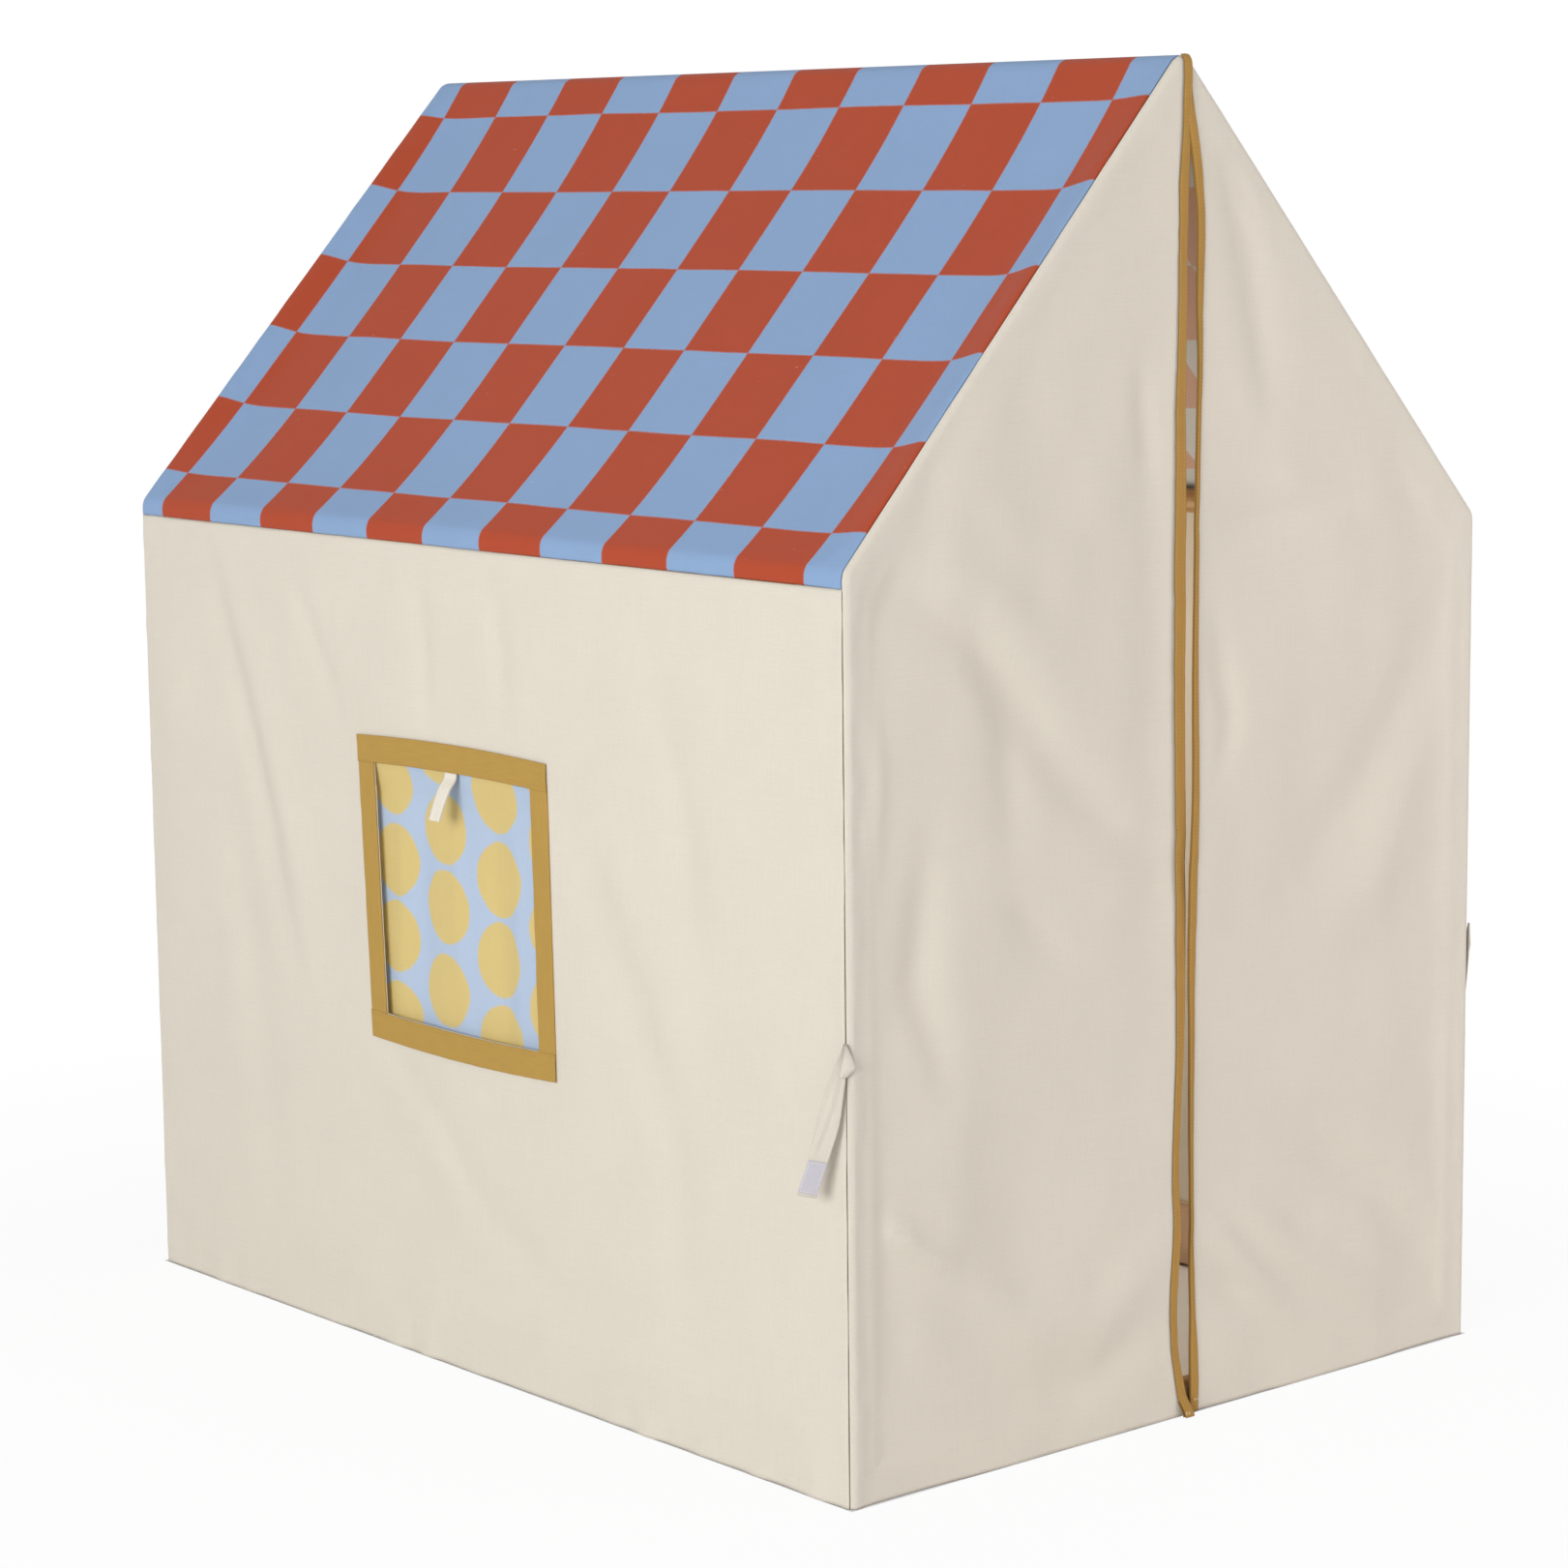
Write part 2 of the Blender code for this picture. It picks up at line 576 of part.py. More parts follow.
def build_cover():
    """The cotton cover with its roof, walls, gables, door flaps and their bindings."""
    cotton = finish("cotton", (0.72, 0.67, 0.57), 0.9)
    print_red = finish("roof_cotton", (0.46, 0.20, 0.17), 0.9)
    mustard = finish("mustard_tape", (0.52, 0.31, 0.08), 0.85)
    back_gable("back_gable", cotton)
    for hand, side in (("left", -1), ("right", 1)):
        roof_half(f"roof_{hand}", side, print_red)
        side_wall(f"side_wall_{hand}", side, cotton)
        front_gable(f"front_gable_{hand}", side, cotton)
        door_flap(f"door_flap_{hand}", side, cotton)
        flap_top = FLAP_HEAD_HEIGHT - SEAM_GAP
        slit_binding(f"door_binding_{hand}", side, HEM_LIFT, flap_top, FLAP_ROWS, mustard)
        slit_binding(
            f"apex_binding_{hand}", side, FLAP_HEAD_HEIGHT, GABLE_HEAD_HEIGHT, HEAD_ROWS, mustard
        )
    combine(bpy.data.objects["side_wall_left"], window_cutter(), "DIFFERENCE")
    window_tapes(mustard)


def hinge(name, place, *pieces):
    """An empty on the line that the pieces turn about, which carries them."""
    pivot = bpy.data.objects.new(name, None)
    pivot.empty_display_size = TAPE_WIDTH
    pivot.location = place
    bpy.data.collections["kids_play_tent"].objects.link(pivot)
    for piece in pieces:
        carried = bpy.data.objects[piece]
        carried.parent = pivot
        carried.matrix_parent_inverse = Matrix.Translation(-place)


def build_fittings():
    """The window curtain and tab, and the tie-back straps with their hook tape."""
    curtain_cotton = finish("curtain_cotton", (0.55, 0.60, 0.62), 0.9)
    webbing = finish("webbing", (0.80, 0.76, 0.68), 0.85)
    hook_tape = finish("hook_tape", (0.68, 0.66, 0.74), 0.8)
    window_curtain("window_curtain", curtain_cotton)
    window_tab("window_tab", webbing)
    patch_start = STRAP_LENGTH - PATCH_LENGTH
    patch_face = SEAT_GAP + PATCH_THICKNESS
    for hand, side in (("left", -1), ("right", 1)):
        tie_strap(f"tie_strap_{hand}", side, 0, 0, STRAP_THICKNESS, STRAP_ROWS, webbing)
        tie_strap(f"tie_patch_{hand}", side, patch_start, patch_face, PATCH_THICKNESS, 1, hook_tape)


def hang_moving_pieces():
    """The lines that the door flaps, curtain, tab and straps turn about."""
    gable, wall = -TENT_LENGTH / 2, TENT_WIDTH / 2
    for hand, side in (("left", -1), ("right", 1)):
        fold = Vector((side * FLAP_FOOT, gable, 0))
        hinge(f"{hand}_flap_fold", fold, f"door_flap_{hand}", f"door_binding_{hand}")
        root = Vector((side * wall, gable, STRAP_ROOT_HEIGHT))
        hinge(f"{hand}_strap_swing", root, f"tie_strap_{hand}", f"tie_patch_{hand}")
    inside, head = CLOTH + SEAT_GAP - wall, WINDOW_HEAD_HEIGHT + CURTAIN_HEAD_LAP
    hinge("curtain_lift", Vector((inside, WINDOW_PLACE, head)), "window_curtain")
    outside = -wall - SEAT_GAP - TAPE_THICKNESS
    tab_root = Vector((outside, WINDOW_PLACE, WINDOW_HEAD_HEIGHT - SEAT_GAP))
    hinge("tab_lift", tab_root, "window_tab")


start_scene()
build_frame()
build_cover()
build_fittings()
hang_moving_pieces()
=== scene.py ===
"""Looks of the kids play tent: sewn cotton cover, printed roof, mustard tape and pine poles."""

import bisect
import json
import math

import bmesh
import bpy
import numpy as np
from mathutils import Matrix, Vector


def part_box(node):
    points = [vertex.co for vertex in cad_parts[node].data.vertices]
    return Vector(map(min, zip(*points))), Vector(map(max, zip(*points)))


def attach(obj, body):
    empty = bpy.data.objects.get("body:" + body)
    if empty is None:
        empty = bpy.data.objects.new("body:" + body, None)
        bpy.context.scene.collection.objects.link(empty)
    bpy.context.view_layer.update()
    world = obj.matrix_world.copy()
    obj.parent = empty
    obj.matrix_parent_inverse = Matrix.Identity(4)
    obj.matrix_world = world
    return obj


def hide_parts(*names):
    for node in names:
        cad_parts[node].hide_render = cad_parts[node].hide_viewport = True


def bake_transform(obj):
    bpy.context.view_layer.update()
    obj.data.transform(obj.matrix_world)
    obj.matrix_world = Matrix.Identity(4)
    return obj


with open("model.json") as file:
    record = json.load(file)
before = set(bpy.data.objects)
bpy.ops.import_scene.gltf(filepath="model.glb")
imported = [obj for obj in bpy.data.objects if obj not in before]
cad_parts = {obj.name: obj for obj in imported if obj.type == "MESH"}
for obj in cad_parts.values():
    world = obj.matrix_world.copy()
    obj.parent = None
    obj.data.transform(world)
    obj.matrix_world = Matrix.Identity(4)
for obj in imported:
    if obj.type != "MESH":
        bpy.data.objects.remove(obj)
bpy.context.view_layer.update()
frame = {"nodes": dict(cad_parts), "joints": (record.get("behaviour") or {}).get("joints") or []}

# Sizes of the tent, from the frame
ROOF_LOW, ROOF_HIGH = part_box("roof_left")
WALL_LOW, WALL_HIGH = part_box("side_wall_left")
RAIL_LOW, RAIL_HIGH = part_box("eave_rail_left")
RIDGE_LOW, RIDGE_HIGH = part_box("ridge_pole")
FLOOR_RAIL_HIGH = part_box("bottom_rail_left")[1]
HALF_WIDTH = -ROOF_LOW.x
HALF_LENGTH = WALL_HIGH.y
CREST = ROOF_HIGH.z
SEAM = ROOF_LOW.z
FOOT = WALL_LOW.z
EAVE_X = -(RAIL_LOW.x + RAIL_HIGH.x) / 2
EAVE_Z = (RAIL_LOW.z + RAIL_HIGH.z) / 2
RIDGE_Z = (RIDGE_LOW.z + RIDGE_HIGH.z) / 2
POLE_RADIUS = (RIDGE_HIGH.z - RIDGE_LOW.z) / 2
REACH = HALF_WIDTH - EAVE_X
SLOPE = math.atan2(RIDGE_Z - EAVE_Z, EAVE_X)
RAFTER_RUN = math.hypot(RIDGE_Z - EAVE_Z, EAVE_X)
SIDES = ((-1, "left"), (1, "right"))

# Sizes of the cloth and its seams
CLOTH = 0.0008
CORNER_RADIUS = 0.009
CORNER_STOPS = (5, 3, 2)
SEAM_TURN = 0.0008
SEAM_LIP = 0.004
SEAM_GAP = 0.0011
EAVE_GAP = 0.0005
HEM_SHARE = 0.35
HEM_BAND = 0.06
POLE_CLEAR = 0.0024
FREE_SINK = 0.03
SEAM_DIP = 0.0009
SEAM_DIP_WIDTH = 0.0022
ROOF_WRAP = math.radians(26)
WALL_WRAP = math.radians(30)
ROOF_SAG = 0.017
RAFTER_RISE = 0.040
TUNNEL_HEIGHT = 0.072
UV_SPAN = 1.5
TAPE_SHIFT = 0.45
MILLI = 1000
WELD = 0.00002
STITCH_LIFT = 0.0002
THREAD_LIFT = 0.0001

# Camera
CAMERA_PLACE = Vector((-2.981, -3.521, 1.302))
CAMERA_HEADING = math.radians(40.25)
CAMERA_DIP = math.radians(8.6)
CAMERA_ROLL = math.radians(-0.63)
CAMERA_LENS = 93.45
CAMERA_SENSOR = 36

# Floor, world and the lamp inside the tent
STAGE_HALF = 40.0
FLOOR_NEAR_WHITE = 0.92
FLOOR_EDGE = 0.002
FLOOR_FADE = 1.4
FLOOR_PAPER = (0.86, 0.86, 0.86, 1)
WORLD_LIGHT = 0.50
GLOW_PLACE = (0.05, 0.0, 0.72)
GLOW_POWER = 5.8
GLOW_COLOUR = (1.0, 0.93, 0.84)
GLOW_RADIUS = 0.22

# Lamps: name, place, target, size, power and colour
LAMPS = (
    ("key_light", (-7.4, -2.9, 2.15), (0, 0, 0.55), (3.4, 2.8), 378, (1, 1, 1)),
    ("fill_light", (2.8, -3.9, 1.1), (0.1, 0, 0.45), (3.0, 2.4), 73, (0.99, 0.93, 0.96)),
)
WHITE = (1, 1, 1, 1)

# Materials


def shade(red, green, blue):
    """A colour given in steps of 0 to 255, as the linear colour that the shader takes"""
    steps = [step / 255 for step in (red, green, blue)]
    return (*(s / 12.92 if s <= 0.04045 else ((s + 0.055) / 1.055) ** 2.4 for s in steps), 1.0)


class Value:
    """What a shader node gives out, which takes part in sums as a plain number does"""

    def __init__(self, recipe, socket):
        self.recipe, self.socket = recipe, socket

    def __add__(self, other):
        return self.recipe.calc("ADD", self, other)

    def __sub__(self, other):
        return self.recipe.calc("SUBTRACT", self, other)

    def __rsub__(self, other):
        return self.recipe.calc("SUBTRACT", other, self)

    def __mul__(self, other):
        return self.recipe.calc("MULTIPLY", self, other)

    def __truediv__(self, other):
        return self.recipe.calc("DIVIDE", self, other)

    __radd__, __rmul__ = __add__, __mul__


class Recipe:
    """A material or world under construction, with short calls for its nodes"""

    def __init__(self, owner):
        owner.use_nodes = True
        self.owner, self.tree = owner, owner.node_tree
        self.tree.nodes.clear()

    def add(self, kind, inputs=None, **settings):
        """A new node with its settings and what goes into its inputs"""
        node = self.tree.nodes.new(kind)
        for key, value in settings.items():
            setattr(node, key, value)
        for name, value in (inputs or {}).items():
            socket = node.inputs[name]
            if isinstance(value, Value):
                self.tree.links.new(value.socket, socket)
            else:
                socket.default_value = value[:3] if socket.type == "VECTOR" else value
        return node

    def give(self, kind, inputs=None, output=0, **settings):
        """What a new node gives out"""
        return Value(self, self.add(kind, inputs, **settings).outputs[output])

    def calc(self, operation, *values):
        return self.give("ShaderNodeMath", dict(enumerate(values)), operation=operation)

    def step(self, value, low, high):
        """0 below low, 1 above high and smooth between"""
        inputs = {"Value": value, "From Min": low, "From Max": high}
        return self.give("ShaderNodeMapRange", inputs, "Result", interpolation_type="SMOOTHSTEP")

    def mix(self, share, first, second):
        return self.give("ShaderNodeMix", {0: share, 6: first, 7: second}, 2, data_type="RGBA")

    def scaled(self, vector, factor):
        """A colour or a place times a number"""
        return self.give("ShaderNodeVectorMath", {0: vector, "Scale": factor}, operation="SCALE")

    def cloth_place(self):
        """A point's place on the flat cloth, in metres"""
        return self.scaled(self.give("ShaderNodeTexCoord", output="UV"), UV_SPAN)

    def object_place(self):
        return self.give("ShaderNodeTexCoord", output="Object")

    def noise(self, place, size, detail=2.0, stretch=(1, 1, 1)):
        """Soft noise from 0 to 1 with marks of about size metres, stretched by the given factors"""
        scale = tuple(1 / (size * factor) for factor in stretch)
        moved = self.give("ShaderNodeMapping", {"Vector": place, "Scale": scale}, vector_type="POINT")
        return self.give("ShaderNodeTexNoise", {"Vector": moved, "Scale": 1.0, "Detail": detail}, "Fac")

    def split(self, place):
        return [Value(self, output) for output in self.add("ShaderNodeSeparateXYZ", {0: place}).outputs]

    def finish(self, colour, roughness, height, depth, sheen=0.0, glow=0.0, specular=0.3):
        """Closes the material: height is in shares of depth, glow is the share of light let through"""
        looks = {"Base Color": colour, "Roughness": roughness, "Specular IOR Level": specular}
        if sheen:
            looks.update({"Sheen Weight": sheen, "Sheen Roughness": 0.6})
        relief = {"Height": height, "Strength": 1.0, "Distance": depth}
        looks["Normal"] = self.give("ShaderNodeBump", relief)
        surface = self.give("ShaderNodeBsdfPrincipled", looks)
        if glow:
            through = self.give("ShaderNodeBsdfTranslucent", {"Color": colour})
            surface = self.give("ShaderNodeMixShader", {0: glow, 1: surface, 2: through})
        self.add("ShaderNodeOutputMaterial", {"Surface": surface})
        return self.owner


def material(name):
    return Recipe(bpy.data.materials.new(name))


THREAD_PITCH = 0.0009
THREAD_WIDTH = 0.0011
THREAD_LENGTH = 45
CANVAS_RELIEF = 0.00022


def canvas(recipe, place, colour, glow, slubs, contrast=1.0):
    """Finishes cotton canvas of the given colour: a plain weave of uneven threads, slubs, fuzz and patches"""
    across, along = recipe.split(place)[:2]
    turn = math.tau / THREAD_PITCH
    weave = recipe.calc("SINE", along * turn) * recipe.calc("SINE", across * turn) * 0.5 + 0.5
    warp = recipe.noise(place, THREAD_WIDTH, 2.0, (1, THREAD_LENGTH, 1))
    weft = recipe.noise(place, THREAD_WIDTH, 2.0, (THREAD_LENGTH, 1, 1))
    uneven = warp + weft - 1.0
    fuzz = recipe.noise(place, 0.0024, 3.0)
    patches = recipe.noise(place, 0.11, 3.0)
    slub = recipe.step(recipe.noise(place, 0.0016, 1.0, (9, 1, 1)), 0.79, 0.84)
    marks = uneven * 0.075 + (fuzz - 0.5) * 0.10 + (patches - 0.5) * 0.05
    tone = marks * contrast + weave * 0.02 + 1.0
    toned = recipe.mix(slub * slubs, recipe.scaled(colour, tone), shade(238, 231, 216))
    height = weave * 0.45 + fuzz * 0.35 + uneven * 0.35 + slub * 0.3
    return recipe.finish(toned, fuzz * 0.14 + 0.80, height, CANVAS_RELIEF, 0.08, glow, 0.25)


def plain_cotton(name, colour, glow):
    recipe = material(name)
    return canvas(recipe, recipe.cloth_place(), colour, glow, 0.12)


CHECK_PITCH = 0.1046
CHECK_START = 0.0605
CHECK_ROW = 0.112
CHECK_HALF_ROW = 0.061
INK_EDGE = 0.0003
INK_WANDER = 0.0012
OVERLAP_EDGES = (0.0004, 0.0010)


def to_border(recipe, value, pitch):
    """Distance in metres to the nearest border of cells pitch wide, positive in every second cell"""
    return (recipe.calc("PINGPONG", value / pitch + 0.5, 1.0) - 0.5) * pitch


def checked_print(name, red, blue, overlap, contrast, glow):
    """Checks in rows along the ridge: half a row each side of the crest, with a thin overlap at borders"""
    recipe = material(name)
    place = recipe.cloth_place()
    wander = (recipe.noise(place, 0.004, 3.0) - 0.5) * INK_WANDER
    along, across = recipe.split(place)[:2]
    from_crest = recipe.calc("ABSOLUTE", across - UV_SPAN / 2)
    column = to_border(recipe, along - CHECK_START, CHECK_PITCH) + wander
    row = to_border(recipe, from_crest - CHECK_HALF_ROW, CHECK_ROW) + wander
    sign = recipe.calc("SIGN", column) * recipe.calc("SIGN", row)
    border = recipe.calc("MINIMUM", recipe.calc("ABSOLUTE", column), recipe.calc("ABSOLUTE", row))
    colour = recipe.mix(recipe.step(sign * border, -INK_EDGE, INK_EDGE), red, blue)
    line = 1.0 - recipe.step(border, *OVERLAP_EDGES)
    return canvas(recipe, place, recipe.mix(line * 0.75, colour, overlap), glow, 0.5, contrast)


DOT_ACROSS = 0.0945
DOT_UP = 0.0895
DOT_RADIUS = 0.0402
DOT_UNLIKE = 0.0022
DOT_WOBBLE = 0.006
DOT_EDGE = 0.0016
DOT_SHIFT = (0.386, -0.018)


def dotted_print():
    """Uneven round dots in staggered columns"""
    recipe = material("curtain_print")
    place = recipe.cloth_place()
    across, up = recipe.split(place)[:2]
    column = across / DOT_ACROSS
    number = recipe.calc("FLOOR", column)
    row = up / DOT_UP + recipe.calc("MODULO", number, 2.0) * 0.5
    step = recipe.calc("FLOOR", row)
    cell = recipe.give("ShaderNodeCombineXYZ", {"X": number, "Y": step})
    chance = recipe.give("ShaderNodeTexWhiteNoise", {"Vector": cell}, "Color", noise_dimensions="2D")
    luck = recipe.split(chance)
    aside = (column - number - 0.5 + (luck[0] - 0.5) * 0.05) * DOT_ACROSS
    above = (row - step - 0.5 + (luck[1] - 0.5) * 0.05) * DOT_UP
    distance = recipe.calc("SQRT", aside * aside + above * above)
    radius = (luck[2] - 0.5) * DOT_UNLIKE + DOT_RADIUS
    inside = radius - distance + (recipe.noise(place, 0.035, 1.0) - 0.5) * DOT_WOBBLE
    colour = recipe.mix(recipe.step(inside, -DOT_EDGE, DOT_EDGE), shade(184, 201, 224), shade(220, 198, 131))
    return canvas(recipe, place, colour, 0.14, 0.25, 0.8)


TAPE_RELIEF = 0.0003
# Painted shade on a folded tape: where it starts past the fold, and how near the outer edge it lies
SHADE_PAST_FOLD = (0.0003, 0.0016)
SHADE_AT_OUTER_EDGE = (0.0001, 0.0009)


def twill_tape(name, colour, rib, fold=None):
    """Close ribs along a tape's length, crossed by uneven threads; with a fold given, painted shade darkens
    it past the fold and along its outer edge
    """
    recipe = material(name)
    place = recipe.cloth_place()
    across, along = recipe.split(place)[:2]
    ribs = recipe.calc("SINE", (across + along * 0.6) * (math.tau / rib)) * 0.5 + 0.5
    fuzz = recipe.noise(place, 0.0016, 3.0)
    streaks = recipe.noise(place, 0.0016, 2.0, (1, 20, 1))
    patches = recipe.noise(place, 0.03, 2.0)
    tone = ribs * 0.05 + 0.90 + fuzz * 0.12 + (streaks - 0.5) * 0.16 + (patches - 0.5) * 0.08
    # painted shade: the tape is darkened past its fold and along its outer edge, as if those parts lay in
    # shade
    if fold:
        beyond_fold = recipe.step(across, *(fold + past for past in SHADE_PAST_FOLD))
        painted_shade = beyond_fold + (1.0 - recipe.step(across, *SHADE_AT_OUTER_EDGE))
        tone = tone - painted_shade * tone * 0.42
    height = ribs * 0.6 + fuzz * 0.4
    return recipe.finish(recipe.scaled(colour, tone), fuzz * 0.16 + 0.76, height, TAPE_RELIEF, 0.06)


def hook_cloth():
    """Rows of tiny hooks on a pale tape"""
    recipe = material("hook_tape")
    place = recipe.cloth_place()
    cells = {"Vector": place, "Scale": 900.0, "Randomness": 0.35}
    bead = 1.0 - recipe.step(recipe.give("ShaderNodeTexVoronoi", cells, "Distance"), 0.1, 0.6)
    fuzz = recipe.noise(place, 0.0018, 3.0)
    toned = recipe.scaled(shade(208, 204, 213), bead * 0.10 + 0.90 + (fuzz - 0.5) * 0.10)
    return recipe.finish(toned, fuzz * 0.2 + 0.5, bead, 0.0004, specular=0.4)


def thread(name, colour):
    """Twisted sewing thread"""
    recipe = material(name)
    fuzz = recipe.noise(recipe.object_place(), 0.0006, 2.0)
    return recipe.finish(recipe.scaled(colour, fuzz * 0.3 + 0.85), fuzz * 0.2 + 0.6, fuzz, 0.0001, 0.1)


def pine(name, direction):
    """Pale wood with its grain along direction"""
    recipe = material(name)
    turn = Vector(direction).to_track_quat("Z", "Y").inverted().to_euler()
    inputs = {"Vector": recipe.object_place(), "Rotation": turn}
    laid = recipe.give("ShaderNodeMapping", inputs, vector_type="POINT")
    warp = recipe.noise(laid, 0.05, 2.0, (1, 1, 6))
    bands = recipe.noise(laid, 0.006, 3.0, (1, 1, 60))
    pores = recipe.noise(laid, 0.0009, 2.0, (1, 1, 30))
    rings = warp * 0.8 + bands * 0.6
    late = recipe.step(recipe.calc("PINGPONG", rings * 7.0, 1.0), 0.35, 0.95)
    colour = recipe.mix(late, shade(192, 158, 112), shade(168, 127, 80))
    colour = recipe.mix(pores * 0.35, colour, shade(148, 110, 70))
    return recipe.finish(colour, late * 0.12 + 0.44, late * 0.5 + pores * 0.5, 0.0001)


def moulded_plastic():
    """Off-white moulded corners with a fine spark-eroded grain"""
    recipe = material("moulding")
    place = recipe.object_place()
    grain = recipe.noise(place, 0.0012, 3.0)
    colour = recipe.mix(recipe.noise(place, 0.03, 2.0), shade(224, 221, 214), shade(214, 210, 202))
    return recipe.finish(colour, grain * 0.2 + 0.38, grain, 0.00012)


COTTON = plain_cotton("cotton_canvas", shade(225, 218, 204), 0.14)
# painted shade: the hem tunnels' cotton is darker and browner, for the shade inside the hem with the rail
# behind it
SHADED_HEM_COTTON = plain_cotton("hem_cotton_painted_shade", shade(203, 171, 142), 0.04)
PRINT_INKS = shade(175, 68, 35), shade(136, 165, 203), shade(175, 114, 114)
REVERSE_INKS = shade(207, 170, 152), shade(209, 211, 210), shade(206, 190, 178)
ROOF_PRINT = checked_print("roof_print", *PRINT_INKS, 1.0, 0.06)
ROOF_REVERSE = checked_print("roof_print_reverse", *REVERSE_INKS, 0.8, 0.12)
CURTAIN_PRINT = dotted_print()
MUSTARD = twill_tape("mustard_tape", shade(179, 143, 66), 0.0012)
# the binding carries painted shade past its fold and along its outer edge
BINDING = twill_tape("mustard_binding", shade(174, 132, 61), 0.0010, fold=0.0111)
WEBBING = twill_tape("webbing", shade(232, 226, 212), 0.0014)
STRAP_COTTON = twill_tape("strap_cotton", shade(215, 208, 194), 0.0011)
# painted shade: a dark twill strip that stands for the shade in the corner seams
SEAM_SHADE_STRIP = twill_tape("seam_painted_shade", shade(112, 97, 76), 0.0009)
HOOKS = hook_cloth()
PALE_THREAD = thread("pale_thread", shade(244, 238, 224))
MUSTARD_THREAD = thread("mustard_thread", shade(196, 158, 92))
MOULDING = moulded_plastic()

# Tools for cloth


def stops(*runs):
    """Joins even runs of (start, end, count) into one rising list of positions"""
    marks = [np.linspace(start, end, count, endpoint=False) for start, end, count in runs]
    return np.concatenate([*marks, [runs[-1][1]]])


def edged_stops(start, end, edge, edge_count, count):
    """Positions from start to end, closer together near both"""
    low, high = start + edge, end - edge
    return stops((start, low, edge_count), (low, high, count), (high, end, edge_count))


def both_ends(tail, *middle):
    """Positions over the middle runs, the runs of the tail and the same tail at the other end"""
    return stops(*((-end, -start, count) for start, end, count in reversed(tail)), *middle, *tail)


def turn_runs(start, turns, counts=CORNER_STOPS):
    """Runs of positions over a path's turns, from start on"""
    runs = []
    for (length, bend), count in zip(turns, counts):
        runs.append((start, start + length, count))
        start = start + length
    return runs


def ease(value, low, high):
    """0 below low, 1 above high and smooth between"""
    share = np.clip((value - low) / (high - low), 0, 1)
    return share * share * (3 - 2 * share)


def hump(value, middle, width):
    """1 at the middle, and smoothly down to nothing about two widths away"""
    return np.exp(-(((value - middle) / width) ** 2))


def cloud(across, up, size, seed, stretch=1.0):
    """Smooth uneven heights from -1 to 1, with swells about size apart"""
    table = np.random.default_rng(seed).uniform(-1, 1, (64, 64))
    column, row = across / size + 7.3, up / (size * stretch) + 3.1
    i, j = np.floor(column).astype(int), np.floor(row).astype(int)
    s, t = ease(column - i, 0, 1), ease(row - j, 0, 1)
    low = table[i % 64, j % 64] * (1 - s) + table[(i + 1) % 64, j % 64] * s
    high = table[i % 64, (j + 1) % 64] * (1 - s) + table[(i + 1) % 64, (j + 1) % 64] * s
    return low * (1 - t) + high * t


def waves(across, up, table, zones, first_seed=0):
    """The sum of clouds, one for each row of (height, size, stretch, seed, zone), by the share of its zone"""
    total = 0.0
    for height, size, stretch, seed, zone in table:
        total = total + height * zones[zone] * cloud(across, up, size, first_seed + seed, stretch)
    return total


def stroke(across, up, points, width, height):
    """A soft ridge (a valley if height is below zero) along a line of points, thinning to its ends"""
    points = [(x / MILLI, z / MILLI) for x, z in points]
    nearest = np.full(across.shape, 9.0)
    share = np.zeros(across.shape)
    lengths = [math.dist(a, b) for a, b in zip(points, points[1:])]
    whole, done = sum(lengths), 0.0
    for (x0, z0), (x1, z1), length in zip(points, points[1:], lengths):
        run = ((across - x0) * (x1 - x0) + (up - z0) * (z1 - z0)) / (length * length)
        run = np.clip(run, 0, 1)
        distance = np.hypot(across - x0 - run * (x1 - x0), up - z0 - run * (z1 - z0))
        closer = distance < nearest
        nearest = np.where(closer, distance, nearest)
        share = np.where(closer, (done + run * length) / whole, share)
        done += length
    taper = np.sin(math.pi * np.clip(share, 0.04, 0.96)) ** 0.6
    return height / MILLI * taper * hump(nearest, 0.0, width / MILLI)


def strokes(across, up, table):
    """All strokes of a table of (points, width, height), which is in millimetres"""
    return sum(stroke(across, up, *row) for row in table)


def folded(across, up, table, depth, calm):
    """The folds of a wall or gable, which flatten towards its hem"""
    return depth * strokes(across, up, table) * calm * (HEM_SHARE + (1 - HEM_SHARE) * ease(up, 0.0, HEM_BAND))


def limited(swell, deepest):
    """A swell that sinks no deeper than deepest"""
    return np.where(swell < 0, -deepest * np.tanh(-swell / deepest), swell)


def held_off(swell, *distances):
    """A swell that sinks no deeper than the poles allow, at these distances from them in the cloth's plane"""
    nearest = np.minimum.reduce(distances)
    return limited(swell, POLE_CLEAR + FREE_SINK * ease(nearest, 0.03, 0.09))


def follow(run, turns):
    """Follows a path past a flat stretch: its (length, bend) turns give (forward, inward, heading)"""
    run = np.asarray(run, float)
    forward, inward, heading = np.minimum(run, 0.0), run * 0.0, run * 0.0
    rest = np.maximum(run, 0.0)
    for length, bend in turns:
        part = np.minimum(rest, length)
        if bend:
            turned = heading + part * bend
            forward = forward + (np.sin(turned) - np.sin(heading)) / bend
            inward = inward + (np.cos(heading) - np.cos(turned)) / bend
            heading = turned
        else:
            forward = forward + part * np.cos(heading)
            inward = inward + part * np.sin(heading)
        rest = rest - part
    return forward, inward, heading


def corner_turns(wrap):
    """The turns of a sheet that wraps a sewn corner by the angle wrap and then dives into the seam"""
    return (
        (CORNER_RADIUS * wrap - SEAM_GAP / 2 - SEAM_TURN, 1 / CORNER_RADIUS),
        (SEAM_TURN * math.pi / 2, 1 / SEAM_TURN),
        (SEAM_LIP, 0.0),
    )


def beyond(wrap):
    """How much cloth such a corner takes past the flat"""
    return sum(length for length, bend in corner_turns(wrap))


